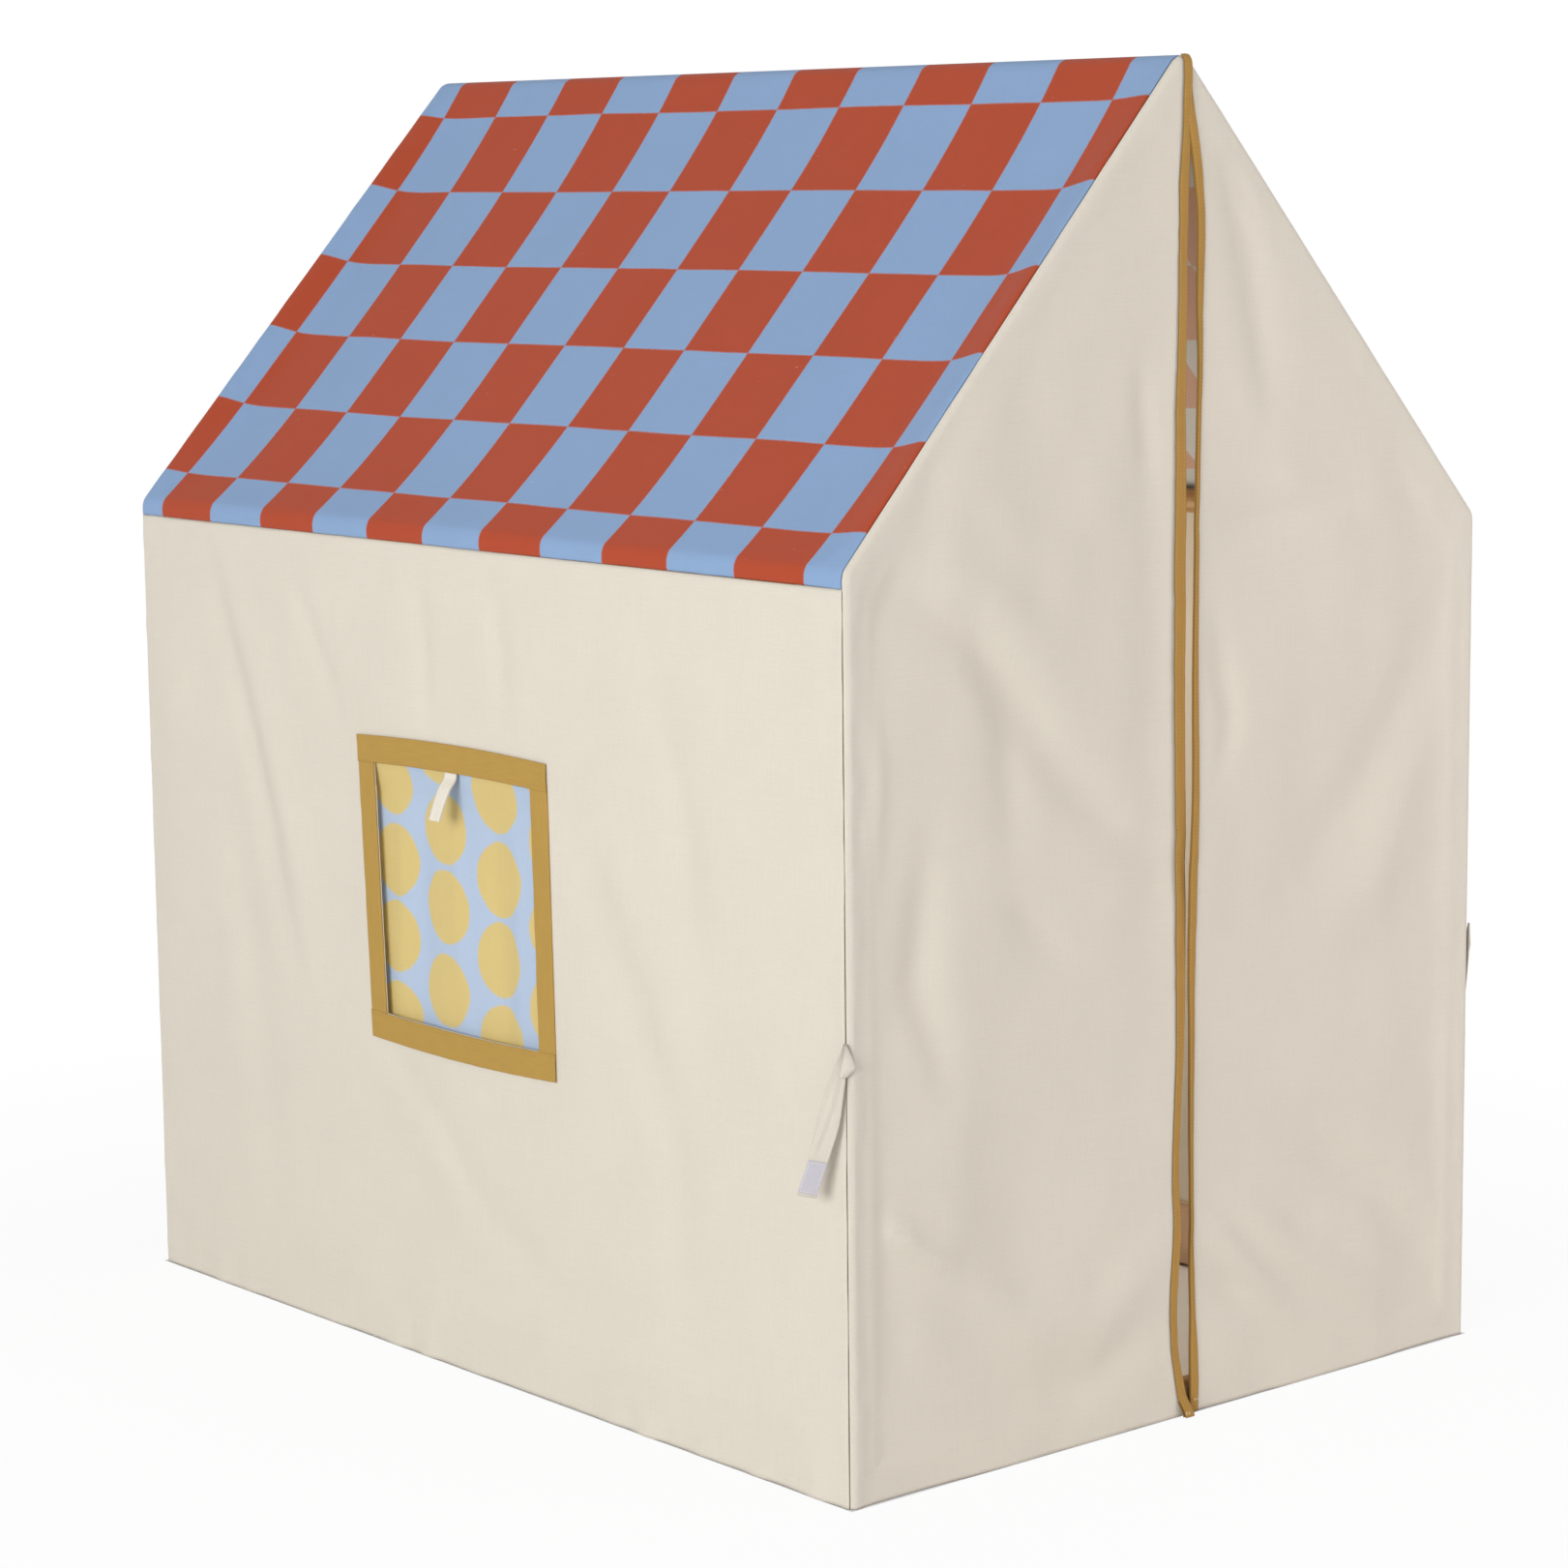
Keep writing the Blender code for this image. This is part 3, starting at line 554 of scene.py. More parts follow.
def flap_fold(side, name):
    """Start and end of the band where a door flap bends off its gable"""
    joint = next(j for j in frame["joints"] if j["name"] == f"{name}_flap_fold")
    foot = Vector(joint["pos_m"])
    toward = Vector(joint["axis"]).normalized().cross(Vector((0, 1, 0))).normalized()
    if toward.x * side > 0:
        toward.negate()
    return foot, foot + toward * FLAP_BEND


FLAP_BEND = 0.038
FLAP_FOLDS = {name: flap_fold(side, name) for side, name in SIDES}

# How the grids of sheets lie on the flat cloth, in metres


def wall_uv(across, up):
    return across + UV_SPAN / 2, up


def roof_uv(along, run):
    return along + HALF_LENGTH, run + UV_SPAN / 2


def binding_uv(across, up):
    return across, up


def level_tape_uv(across, up):
    return up, across + TAPE_SHIFT


def upright_tape_uv(across, up):
    return across, up + TAPE_SHIFT


def tab_uv(down, aside):
    return aside + TAPE_SHIFT, down


def strap_uv(run, share):
    return tab_uv(run, share * STRAP_WIDTH)


# Pieces


def put_in_scene(name, data):
    made = bpy.data.objects.new(name, data)
    bpy.context.scene.collection.objects.link(made)
    return made


def sheet_mesh(name, across, up, place, finish, outward, uv=None, thickness=CLOTH, keep=None, lining=None):
    """A sheet from a grid of points, with a thickness towards its inner side

    place and uv give a point's place in the tent and on the flat cloth, and keep picks the grid's cells.
    """
    uv = uv or wall_uv
    grid = np.meshgrid(across, up)
    points = place(*grid)
    rows, columns = grid[0].shape
    a, b, c = (points[rows // 2 + i, columns // 2 + j] for i, j in ((0, 0), (0, 1), (1, 0)))
    first = (np.arange(rows - 1)[:, None] * columns + np.arange(columns - 1)).ravel()
    cells = np.stack([first, first + 1, first + columns + 1, first + columns], -1)
    if np.dot(np.cross(b - a, c - a), outward) <= 0:
        cells = cells[:, ::-1]
    if keep:
        middles = np.meshgrid((across[:-1] + across[1:]) / 2, (up[:-1] + up[1:]) / 2)
        cells = cells[keep(*middles).ravel()]
    mesh = bpy.data.meshes.new(name)
    mesh.from_pydata(points.reshape(-1, 3).tolist(), [], cells.tolist())
    corners = np.empty(len(mesh.loops), int)
    mesh.loops.foreach_get("vertex_index", corners)
    flat = (np.stack(uv(*grid), -1) / UV_SPAN).reshape(-1, 2)[corners]
    mesh.uv_layers.new(name="cloth").data.foreach_set("uv", flat.astype(np.float32).ravel())
    mesh.polygons.foreach_set("use_smooth", [True] * len(mesh.polygons))
    mesh.materials.append(finish)
    trim = bmesh.new()
    trim.from_mesh(mesh)
    bmesh.ops.delete(trim, geom=[v for v in trim.verts if not v.link_faces], context="VERTS")
    if keep:
        bmesh.ops.remove_doubles(trim, verts=trim.verts, dist=WELD)
    trim.to_mesh(mesh)
    trim.free()
    made = put_in_scene(name, mesh)
    thick = made.modifiers.new("thickness", "SOLIDIFY")
    thick.thickness = thickness
    thick.offset = -1
    thick.use_rim = True
    if lining:
        mesh.materials.append(lining)
        thick.material_offset = 1
    return made


def from_bmesh(name, shape, finish):
    bmesh.ops.recalc_face_normals(shape, faces=shape.faces)
    mesh = bpy.data.meshes.new(name)
    shape.to_mesh(mesh)
    shape.free()
    mesh.polygons.foreach_set("use_smooth", [True] * len(mesh.polygons))
    mesh.materials.append(finish)
    return put_in_scene(name, mesh)


def sewn(made, body, slot, *nodes):
    """Puts a finished piece on its body, in place of the nodes that it stands for; slot is not used

    With a side of the door as its body, its place is baked into its mesh and it is not attached; the band
    along the hinge line where it would bend off the gable is not used here.
    """
    if body in FLAP_FOLDS:
        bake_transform(made)
    else:
        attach(made, body)
    if nodes:
        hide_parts(*nodes)


def line_on(place, start, end, count, raised=(0, 0, 0)):
    """Points of a sheet, a little raised, on a straight line between two places on its flat cloth"""
    steps = np.arange(count + 1)[None]
    across, up = (first + (last - first) * steps / count for first, last in zip(start, end))
    return [Vector(point) + Vector(raised) for point in place(across, up)[0]]


def lines_round(place, corners, count, raised=(0, 0, 0)):
    """Such lines from each corner to the next and back to the first"""
    pairs = zip(corners, (*corners[1:], corners[0]))
    return [line_on(place, first, second, count, raised) for first, second in pairs]


def stitches(name, lines, outward, finish, length=0.0026, gap=0.0012, width=0.0006):
    """Rows of thread stitches along lines of points, lying on the side that outward names"""
    mesh = bmesh.new()
    for line in lines:
        done = [0.0]
        for first, second in zip(line, line[1:]):
            done.append(done[-1] + (second - first).length)
        for number in range(int(done[-1] / (length + gap))):
            ends = []
            for run in (number * (length + gap), number * (length + gap) + length):
                index = min(bisect.bisect_right(done, run), len(line) - 1) - 1
                share = (run - done[index]) / max(done[index + 1] - done[index], 1e-9)
                ends.append(line[index].lerp(line[index + 1], share))
            add_stitch(mesh, *ends, Vector(outward), width)
    return from_bmesh(name, mesh, finish)


def add_stitch(mesh, start, end, outward, width):
    """One stitch: a slim bead that dips into the cloth at both ends"""
    along = end - start
    side = along.cross(outward).normalized() * width / 2
    top = outward * STITCH_LIFT
    rings = []
    for share in (0.2, 0.8):
        middle = start + along * share
        rings.append([mesh.verts.new(middle + offset) for offset in (side, top + top, -side, -top)])
    tips = mesh.verts.new(start - top), mesh.verts.new(end - top)
    for k in range(4):
        j = (k + 1) % 4
        mesh.faces.new((rings[0][k], rings[0][j], rings[1][j], rings[1][k]))
        mesh.faces.new((tips[0], rings[0][j], rings[0][k]))
        mesh.faces.new((tips[1], rings[1][k], rings[1][j]))


# Roof

ROOF_TURNS = (
    (REACH * SLOPE, 1 / REACH),
    (RAFTER_RUN, 0.0),
    (REACH * (math.pi / 2 - SLOPE), 1 / REACH),
    (EAVE_Z - SEAM, 0.0),
)
ROOF_HALF = sum(length for length, bend in ROOF_TURNS)
ROOF_STOPS = (5, 74, 7, 6)
FLAT_HALF = HALF_LENGTH - CORNER_RADIUS

# Waves of the roof's cloth: height, size, stretch, seed, zone
ROOF_WAVES = (
    (0.0016, 0.16, 1.4, 5, "flat"),
    (0.0006, 0.05, 2.2, 6, "flat"),
    (0.0008, 0.022, 4.0, 8, "eave seam"),
    (0.0009, 0.030, 1.0, 9, "gable seam"),
)


def roof_profile(run):
    """Place and outward direction across the roof, at the signed length run from its crest"""
    side = np.sign(run)
    forward, drop, heading = follow(np.abs(run), ROOF_TURNS)
    return side * forward, CREST - drop, side * np.sin(heading), np.cos(heading)


def roof_swell(along, run):
    """How far the roof's cloth stands out of its smooth shape"""
    from_crest, from_edge = np.abs(run), HALF_LENGTH - np.abs(along)
    flat = from_crest - ROOF_TURNS[0][0]
    hang = 1 - np.abs(2 * np.clip(flat / RAFTER_RUN, 0, 1) - 1) ** 3.5
    between = 1 - np.exp(-((np.maximum(from_edge - 0.006, 0) / RAFTER_RISE) ** 1.7))
    zones = {
        "flat": ease(flat, 0, 0.05) * ease(from_edge, 0.015, 0.06),
        "eave seam": hump(from_crest, ROOF_HALF, 0.035) * ease(from_edge, 0.01, 0.05),
        "gable seam": hump(from_edge, 0.02, 0.02) * ease(flat, 0, 0.04),
    }
    uneven = waves(along, run, ROOF_WAVES, zones)
    return uneven - ROOF_SAG * hang * between - SEAM_DIP * hump(from_crest, ROOF_HALF, SEAM_DIP_WIDTH)


def roof_place(along, run):
    side = np.sign(along)
    forward, inward, heading = follow(np.abs(along) - FLAT_HALF, corner_turns(ROOF_WRAP))
    y = side * (FLAT_HALF + forward)
    x, z, out_x, out_z = roof_profile(run)
    swell = roof_swell(y, run) * np.cos(heading) ** 2 - inward
    return np.stack([x + out_x * swell, y, z + out_z * swell], -1)


def make_roof():
    near = FLAT_HALF - 0.06
    tail = [(near, FLAT_HALF, 14), *turn_runs(FLAT_HALF, corner_turns(ROOF_WRAP))]
    along = both_ends(tail, (-near, near, 130))
    run = both_ends(turn_runs(0.0, ROOF_TURNS, ROOF_STOPS))
    up = (0, 0, 1)
    made = sheet_mesh("roof_cover", along, run, roof_place, ROOF_PRINT, up, roof_uv, lining=ROOF_REVERSE)
    sewn(made, "tent", "roof_print", "roof_left", "roof_right")
    flat = (2 * (FLAT_HALF + beyond(ROOF_WRAP)), 2 * ROOF_HALF)


# Side walls

WALL_TOP = SEAM - EAVE_GAP
WALL_FOLD_DEPTH = 1.45
HEM_ROOM = 0.0006
WINDOW_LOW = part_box("window_tape_bottom")[0]
WINDOW_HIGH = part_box("window_tape_top")[1]
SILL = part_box("window_tape_bottom")[1].z
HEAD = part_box("window_tape_top")[0].z
WINDOW_Y = (WINDOW_LOW.y + WINDOW_HIGH.y) / 2
WINDOW_Z = (WINDOW_LOW.z + WINDOW_HIGH.z) / 2
WINDOW_HALF = (WINDOW_HIGH.y - WINDOW_LOW.y) / 2
WINDOW_HALF_HEIGHT = (WINDOW_HIGH.z - WINDOW_LOW.z) / 2
TAPE_WIDTH = SILL - WINDOW_LOW.z
OPENING_HALF = WINDOW_HALF - TAPE_WIDTH
OPENING_INSET = 0.0012

# The sewn window's middle and half width, each with its growth upwards, and its bow and tilt
WINDOW_MIDDLE = (0.0092, 0.0062)
WINDOW_SPREAD = (0.1715, 0.0020)
WINDOW_BOW = 0.0045
WINDOW_TILT = 0.0012
WINDOW_REACH = (0.18, 0.32)

# Waves of a wall's cloth: height, size, stretch, seed, zone
WALL_WAVES = (
    (0.0022, 0.13, 2.6, 0, "flat"),
    (0.0007, 0.045, 2.2, 1, "flat"),
    (0.0011, 0.024, 6.0, 2, "gathers"),
    (0.0026, 0.030, 2.5, 3, "hem"),
    (0.0010, 0.026, 1.0, 4, "corner seam"),
)

# Folds of the window wall, in millimetres: points (y, z), width, height
WINDOW_WALL_FOLDS = (
    (((487, 862), (435, 736), (374, 560), (331, 410)), 22, -4.2),
    (((455, 872), (395, 736), (335, 570), (285, 420)), 26, 2.8),
    (((310, 853), (262, 771), (225, 704)), 16, -2.8),
    (((69, 873), (62, 800), (58, 710)), 16, -2.4),
    (((-69, 873), (-78, 800), (-85, 720)), 18, -2.6),
    (((165, 355), (45, 263), (-24, 188), (-163, 117)), 22, -3.4),
    (((130, 300), (20, 210), (-60, 140)), 30, 1.8),
    (((-341, 801), (-383, 649), (-407, 518)), 26, -3),
    (((-188, 634), (-288, 475), (-357, 322), (-368, 128)), 34, -3.4),
    (((-240, 660), (-330, 490), (-400, 320)), 36, 2.2),
    (((520, 620), (470, 420), (450, 200)), 36, 2),
    (((460, 600), (410, 400), (380, 160)), 30, -1.8),
)

# Folds of the plain wall, which the photo hides
PLAIN_WALL_FOLDS = (
    (((410, 860), (360, 660), (330, 450)), 26, -3.6),
    (((120, 870), (90, 660), (20, 460)), 28, -3.2),
    (((-190, 870), (-230, 700), (-300, 500)), 24, -3.4),
    (((-430, 850), (-460, 620), (-440, 400)), 28, 2.4),
    (((300, 380), (100, 240), (-80, 120)), 30, -3),
    (((-200, 400), (-340, 260), (-420, 100)), 30, -2.8),
    (((500, 500), (470, 300), (480, 120)), 30, 2.2),
)


def window_frame(y, z):
    """Moves a point of the window wall to where the sewn window, slightly out of true, has it"""
    u = (y - WINDOW_Y) / WINDOW_HALF
    v = (z - WINDOW_Z) / WINDOW_HALF_HEIGHT
    away = np.maximum(np.abs(u) * WINDOW_HALF, np.abs(v) * WINDOW_HALF_HEIGHT)
    near = 1 - ease(away, *WINDOW_REACH)
    middle, half = (start + growth * v for start, growth in (WINDOW_MIDDLE, WINDOW_SPREAD))
    warped_y = middle + u * half
    warped_z = z + WINDOW_BOW * v * (1 - np.minimum(u * u, 1.4)) - WINDOW_TILT * u
    return y + (warped_y - y) * near, z + (warped_z - z) * near


def wall_swell(y, z, folds, seed, window):
    """How far a wall's cloth stands out at y, z"""
    from_side, from_top = HALF_LENGTH - np.abs(y), WALL_TOP - z
    calm = ease(from_side, 0.008, 0.07) * ease(from_top, 0.004, 0.05)
    if window:
        u = np.abs(y - WINDOW_Y) - WINDOW_HALF
        v = np.abs(z - WINDOW_Z) - WINDOW_HALF_HEIGHT
        calm = calm * (0.25 + 0.75 * ease(np.maximum(u, v), 0.0, 0.035))
    inner = ease(from_side, 0.012, 0.05)
    zones = {
        "flat": calm,
        "gathers": np.exp(-((from_top / 0.05) ** 1.5)) * inner * ease(from_top, 0.0, 0.012),
        "hem": hump(z, 0.0, 0.045) * inner,
        "corner seam": hump(from_side, 0.012, 0.016) * ease(from_top, 0.0, 0.03),
    }
    swell = folded(y, z, folds, WALL_FOLD_DEPTH, calm) + waves(y, z, WALL_WAVES, zones, seed)
    swell = held_off(swell, from_side, from_top, z)
    swell = limited(swell, HEM_ROOM + FREE_SINK * ease(z, TUNNEL_HEIGHT + 0.004, TUNNEL_HEIGHT + 0.05))
    return swell - SEAM_DIP * hump(from_top, 0.0, SEAM_DIP_WIDTH)


def wall_place(side, folds, seed, window):
    """The place on one long wall's outer face for a point of its cloth; lift raises it further"""

    def place(along, up, lift=0.0):
        end = np.sign(along)
        forward, inward, heading = follow(np.abs(along) - FLAT_HALF, corner_turns(WALL_WRAP))
        y, z = end * (FLAT_HALF + forward), up
        if window:
            warped_y, z = window_frame(y, up)
            y = np.where(np.abs(along) < FLAT_HALF, warped_y, y)
        swell = wall_swell(y, z, folds, seed, window) * np.cos(heading) + lift
        out = HALF_WIDTH - inward + swell * np.cos(heading)
        return np.stack([side * out, y + end * swell * np.sin(heading), z], -1)

    return place


LEFT_WALL = wall_place(-1, WINDOW_WALL_FOLDS, 21, True)
RIGHT_WALL = wall_place(1, PLAIN_WALL_FOLDS, 41, False)


def in_wall(y, z):
    """Whether cells of the window wall are cloth rather than window"""
    beside = np.abs(y - WINDOW_Y) > OPENING_HALF - OPENING_INSET
    return beside | (z <= SILL - OPENING_INSET) | (z >= HEAD + OPENING_INSET)


def make_walls():
    rows = stops((FOOT, 0.05, 12), (0.05, SILL, 34), (SILL, HEAD, 34), (HEAD, 0.85, 22), (0.85, WALL_TOP, 14))
    inner = FLAT_HALF - 0.05
    near, far = WINDOW_Y - OPENING_HALF, WINDOW_Y + OPENING_HALF
    tail = [(inner, FLAT_HALF, 12), *turn_runs(FLAT_HALF, corner_turns(WALL_WRAP))]
    columns = both_ends(tail, (-inner, near, 58), (near, far, 40), (far, inner, 58))
    flat = (2 * (FLAT_HALF + beyond(WALL_WRAP)), WALL_TOP - FOOT)
    area = flat[0] * flat[1] - 2 * OPENING_HALF * (HEAD - SILL)
    left = sheet_mesh("side_cover_left", columns, rows, LEFT_WALL, COTTON, (-1, 0, 0), keep=in_wall)
    sewn(left, "tent", "cotton", "side_wall_left")
    right = sheet_mesh("side_cover_right", columns, rows, RIGHT_WALL, COTTON, (1, 0, 0))
    sewn(right, "tent", "cotton", "side_wall_right")


# Sizes of the dark strip of painted shade in the corner seams
SEAM_SHADE_SINK = 0.0010
SEAM_SHADE_HALF = 0.0012
SEAM_SHADE_CLOTH = 0.0005


def make_corner_seam_shades():
    """A thin strip of painted shade, dark twill set into each upright corner seam so that the seam shows as a
    thin dark line
    """
    aside = stops((-SEAM_SHADE_HALF, SEAM_SHADE_HALF, 3))
    height = stops((FOOT, SEAM - 0.002, 160))
    radius = CORNER_RADIUS - SEAM_SHADE_SINK
    for end, end_name in ((-1, "front"), (1, "back")):
        for side, side_name in SIDES:

            def place(aside, z):
                turn = WALL_WRAP + aside / radius
                depth = radius + 0.0003 * cloud(z, aside, 0.004, 131)
                x = side * (HALF_WIDTH - CORNER_RADIUS + depth * np.cos(turn))
                return np.stack([x, end * (FLAT_HALF + depth * np.sin(turn)), z], -1)

            outward = (side * math.cos(WALL_WRAP), end * math.sin(WALL_WRAP), 0)
            name = f"corner_seam_{end_name}_{side_name}"
            made = sheet_mesh(name, aside, height, place, SEAM_SHADE_STRIP, outward, thickness=SEAM_SHADE_CLOTH)
            sewn(made, "tent", "cotton")


TUNNEL_CLEAR = 0.0016
TUNNEL_SHORT = 0.004
TUNNEL_WAVE = 0.0010
TUNNEL_SHIFTS = (-0.004, -0.002, 0.0, 0.002, 0.004)
TUNNEL_OUTER = HALF_WIDTH - CLOTH - 0.0004
TUNNEL_STITCHING = (TUNNEL_OUTER - 0.0022, TUNNEL_HEIGHT - 0.003)
TUNNEL_INNER = -FLOOR_RAIL_HIGH.x - TUNNEL_CLEAR
TUNNEL_RAIL_TOP = FLOOR_RAIL_HIGH.z + TUNNEL_CLEAR

# A hem tunnel's outline (x, z), from its top seam down round the rail's inner side
TUNNEL_OUTLINE = (
    (TUNNEL_OUTER - 0.001, TUNNEL_HEIGHT),
    (TUNNEL_OUTER - 0.002, TUNNEL_HEIGHT - 0.012),
    (TUNNEL_INNER + 0.012, TUNNEL_RAIL_TOP + 0.006),
    (TUNNEL_INNER + 0.002, TUNNEL_RAIL_TOP - 0.004),
    (TUNNEL_INNER, 0.02),
    (TUNNEL_INNER + 0.003, 0.005),
    (TUNNEL_INNER + 0.012, 0.002),
)


def make_hem_tunnels():
    """The inner half of the hem that holds each long bottom rail, its cotton darkened with painted shade"""
    outline = list(zip(*TUNNEL_OUTLINE))
    lengths = [0.0]
    for first, second in zip(TUNNEL_OUTLINE, TUNNEL_OUTLINE[1:]):
        lengths.append(lengths[-1] + math.dist(first, second))
    half = FLOOR_RAIL_HIGH.y - TUNNEL_SHORT
    for side, name in SIDES:

        def place(along, run):
            shifted = [run + shift for shift in TUNNEL_SHIFTS]
            x, z = (sum(np.interp(r, lengths, line) / len(shifted) for r in shifted) for line in outline)
            x = x - TUNNEL_WAVE * (1 + cloud(along, run, 0.05, 71, 0.7)) * ease(run, 0.005, 0.02)
            return np.stack([side * x, along, z], -1)

        along = stops((-half, half, 110))
        run = stops((0.0, lengths[-1], 26))
        made = sheet_mesh(f"hem_tunnel_{name}", along, run, place, SHADED_HEM_COTTON, (-side, 0, 0))
        sewn(made, "tent", "cotton")
        x, z = TUNNEL_STITCHING
        seam = [Vector((side * x, share * half, z)) for share in np.linspace(-1, 1, 81).tolist()]
        row = stitches(f"hem_stitches_{name}", [seam], (-side, 0, 0), PALE_THREAD)
        sewn(row, "tent", "cotton")


# Gables

GABLE_RADIUS = REACH - CORNER_RADIUS
GABLE_WRAP = math.pi / 2 - WALL_WRAP
GABLE_TOP_WRAP = math.pi / 2 - ROOF_WRAP
GABLE_FLAT = HALF_WIDTH - CORNER_RADIUS
CREST_END = GABLE_RADIUS * math.sin(SLOPE)
EAVE_START = EAVE_X + CREST_END
GABLE_SIZE = (2 * (GABLE_FLAT + beyond(GABLE_WRAP)), CREST)
GABLE_AREA = GABLE_SIZE[0] * (SEAM + CREST) / 2
WRAP_CHANGE = 0.003
GABLE_FOLD_DEPTH = 2.3
SIDE_SINK = 0.0060
SLIT_ZONE = 0.12

# Waves of a gable's cloth: height, size, stretch, seed, zone
GABLE_WAVES = (
    (0.0034, 0.14, 2.2, 0, "flat"),
    (0.0012, 0.05, 1.8, 1, "flat"),
    (-0.0022, 0.060, 1.4, 2, "sunk strip"),
    (0.0012, 0.024, 1.0, 3, "corner seam"),
    (0.0018, 0.045, 2.0, 4, "hem"),
    (0.0010, 0.028, 1.0, 5, "roof seam"),
)

# Folds of the door gable's halves and of the back gable, in millimetres: points (x, z), width, height
LEFT_HALF_FOLDS = (
    (((-391, 898), (-289, 847), (-199, 739), (-152, 689), (-24, 582)), 26, -4.2),
    (((-360, 930), (-240, 870), (-160, 780)), 34, 2.6),
    (((-350, 653), (-363, 512), (-322, 396)), 22, -3.4),
    (((-245, 574), (-152, 507)), 18, -2.2),
    (((-455, 343), (-430, 300), (-397, 267)), 13, -4.2),
    (((-455, 312), (-390, 265), (-323, 225)), 13, 4.2),
    (((-323, 235), (-231, 145), (-120, 125), (-6, 200)), 30, 3.4),
    (((-260, 80), (-150, 60), (-40, 100)), 24, -2.2),
    (((-58, 1109), (-50, 1050), (-42, 987)), 14, -2.2),
    (((-289, 868), (-244, 765), (-237, 620)), 24, -2.6),
    (((-440, 830), (-420, 720), (-430, 600)), 18, 2.4),
    (((-300, 1020), (-220, 930), (-120, 900)), 30, 1.8),
    (((-30, 1200), (-38, 900), (-30, 600), (-50, 420)), 40, -2.6),
    (((-250, 380), (-250, 220), (-280, 70)), 70, -2.8),
)
RIGHT_HALF_FOLDS = (
    (((32, 210), (97, 145), (168, 87)), 16, 3.6),
    (((79, 220), (184, 141), (303, 74)), 18, 3),
    (((50, 150), (110, 100)), 16, -2.8),
    (((62, 1330), (104, 1184), (131, 1035)), 24, -3.2),
    (((40, 941), (157, 939), (254, 945)), 20, -2.6),
    (((49, 841), (75, 735), (58, 680)), 16, -3),
    (((165, 290), (309, 194), (414, 78)), 30, -3.4),
    (((408, 811), (284, 642), (162, 538)), 34, -3.4),
    (((400, 700), (300, 540), (200, 460)), 36, 2.4),
    (((440, 620), (430, 460), (440, 300)), 20, 2.2),
    (((100, 1100), (160, 980), (260, 900)), 34, 2),
)
BACK_FOLDS = (
    (((-380, 900), (-260, 800), (-150, 620), (-20, 500)), 30, -4.2),
    (((400, 880), (270, 740), (180, 560)), 30, -3.8),
    (((20, 1330), (-30, 1150), (-20, 950)), 28, -3.2),
    (((-420, 500), (-300, 340), (-200, 120)), 32, 3.4),
    (((360, 400), (220, 260), (20, 160)), 32, 3.2),
    (((430, 660), (420, 460), (440, 240)), 22, 2.4),
)

# The slit, in millimetres: height, place and width of each binding, listed from floor to apex
LEFT_EDGE = (
    (0, 6.6, 14.6), (13, 3.2, 13.8), (32, -0.8, 13.1), (46, -3.6, 12), (73, -8.9, 10.9), (112, -10.9, 11),
    (164, -10.9, 12.7), (215, -7.9, 11.5), (267, -9.1, 10.3), (355, -4.9, 11), (380, -2.1, 11.5),
    (431, 0.4, 13.3), (482, 1, 14.6), (684, -0.5, 15.9), (853, 2.3, 16.9), (952, 1.4, 17.2),
    (1050, 0, 15.2), (1118, 0, 13), (1215, 2, 12.6), (1263, 2.6, 14.2), (1287, 2.9, 14.8),
    (1335, 3.7, 13.2), (1359, 3.9, 13), (1420, 3.3, 12.2),
)
RIGHT_EDGE = (
    (0, 22.4, 11.9), (40, 22.2, 12.1), (67, 21, 11.7), (106, 19.9, 7), (159, 18.1, 6.7), (185, 17.7, 5),
    (211, 17.2, 4.4), (237, 18.1, 4.4), (262, 17.6, 4.6), (304, 17.2, 5.4), (427, 16.3, 7.3),
    (520, 12.7, 10), (580, 12.1, 10.7), (681, 16.5, 8), (751, 19, 7.4), (851, 21.1, 5.8), (950, 21.2, 4.8),
    (1049, 22.1, 4.6), (1117, 25, 5.6), (1166, 23.9, 8), (1214, 23.1, 9.9), (1263, 21.3, 10.1),
    (1287, 18.8, 11.4), (1319, 14.6, 11.9), (1335, 11.7, 12.5), (1359, 6.7, 11.8), (1420, 1.9, 10.4),
)
LINE_SHIFTS = (-0.012, -0.007, -0.002, 0.002, 0.007, 0.012)
BINDING_WIDTH = 0.013
BINDING_CLOTH = 0.0006
BINDING_RADIUS = 0.0019
BINDING_TUCK = 0.25
BINDING_LEAF = BINDING_WIDTH - BINDING_RADIUS
BINDING_FOLD = math.pi * BINDING_RADIUS
BINDING_WHOLE = 2 * BINDING_LEAF + BINDING_FOLD
BINDING_DOME = 0.0005
BINDING_SPREAD = 0.0004
BINDING_FLARE = 0.007
FLARE_HEIGHT = 0.026
TACK_HEIGHTS = {-1: 0.004, 1: 0.0125}
TACK_SPAN = (0.06, 0.94)
TACK_GAP = 0.0013
SLIT_ROWS = (0.0016, BINDING_LEAF - 0.0012)
SLIT_ROW_ENDS = (0.012, 0.018)
APEX_LAP = 0.0024
APEX_LAP_SPAN = (1.28, 1.34)


def smooth_line(points, z, column=1):
    """A column at the heights z, on a line with rounded corners through points in millimetres"""
    heights, values = [p[0] / MILLI for p in points], [p[column] / MILLI for p in points]
    return sum(np.interp(z + shift, heights, values) for shift in LINE_SHIFTS) / len(LINE_SHIFTS)


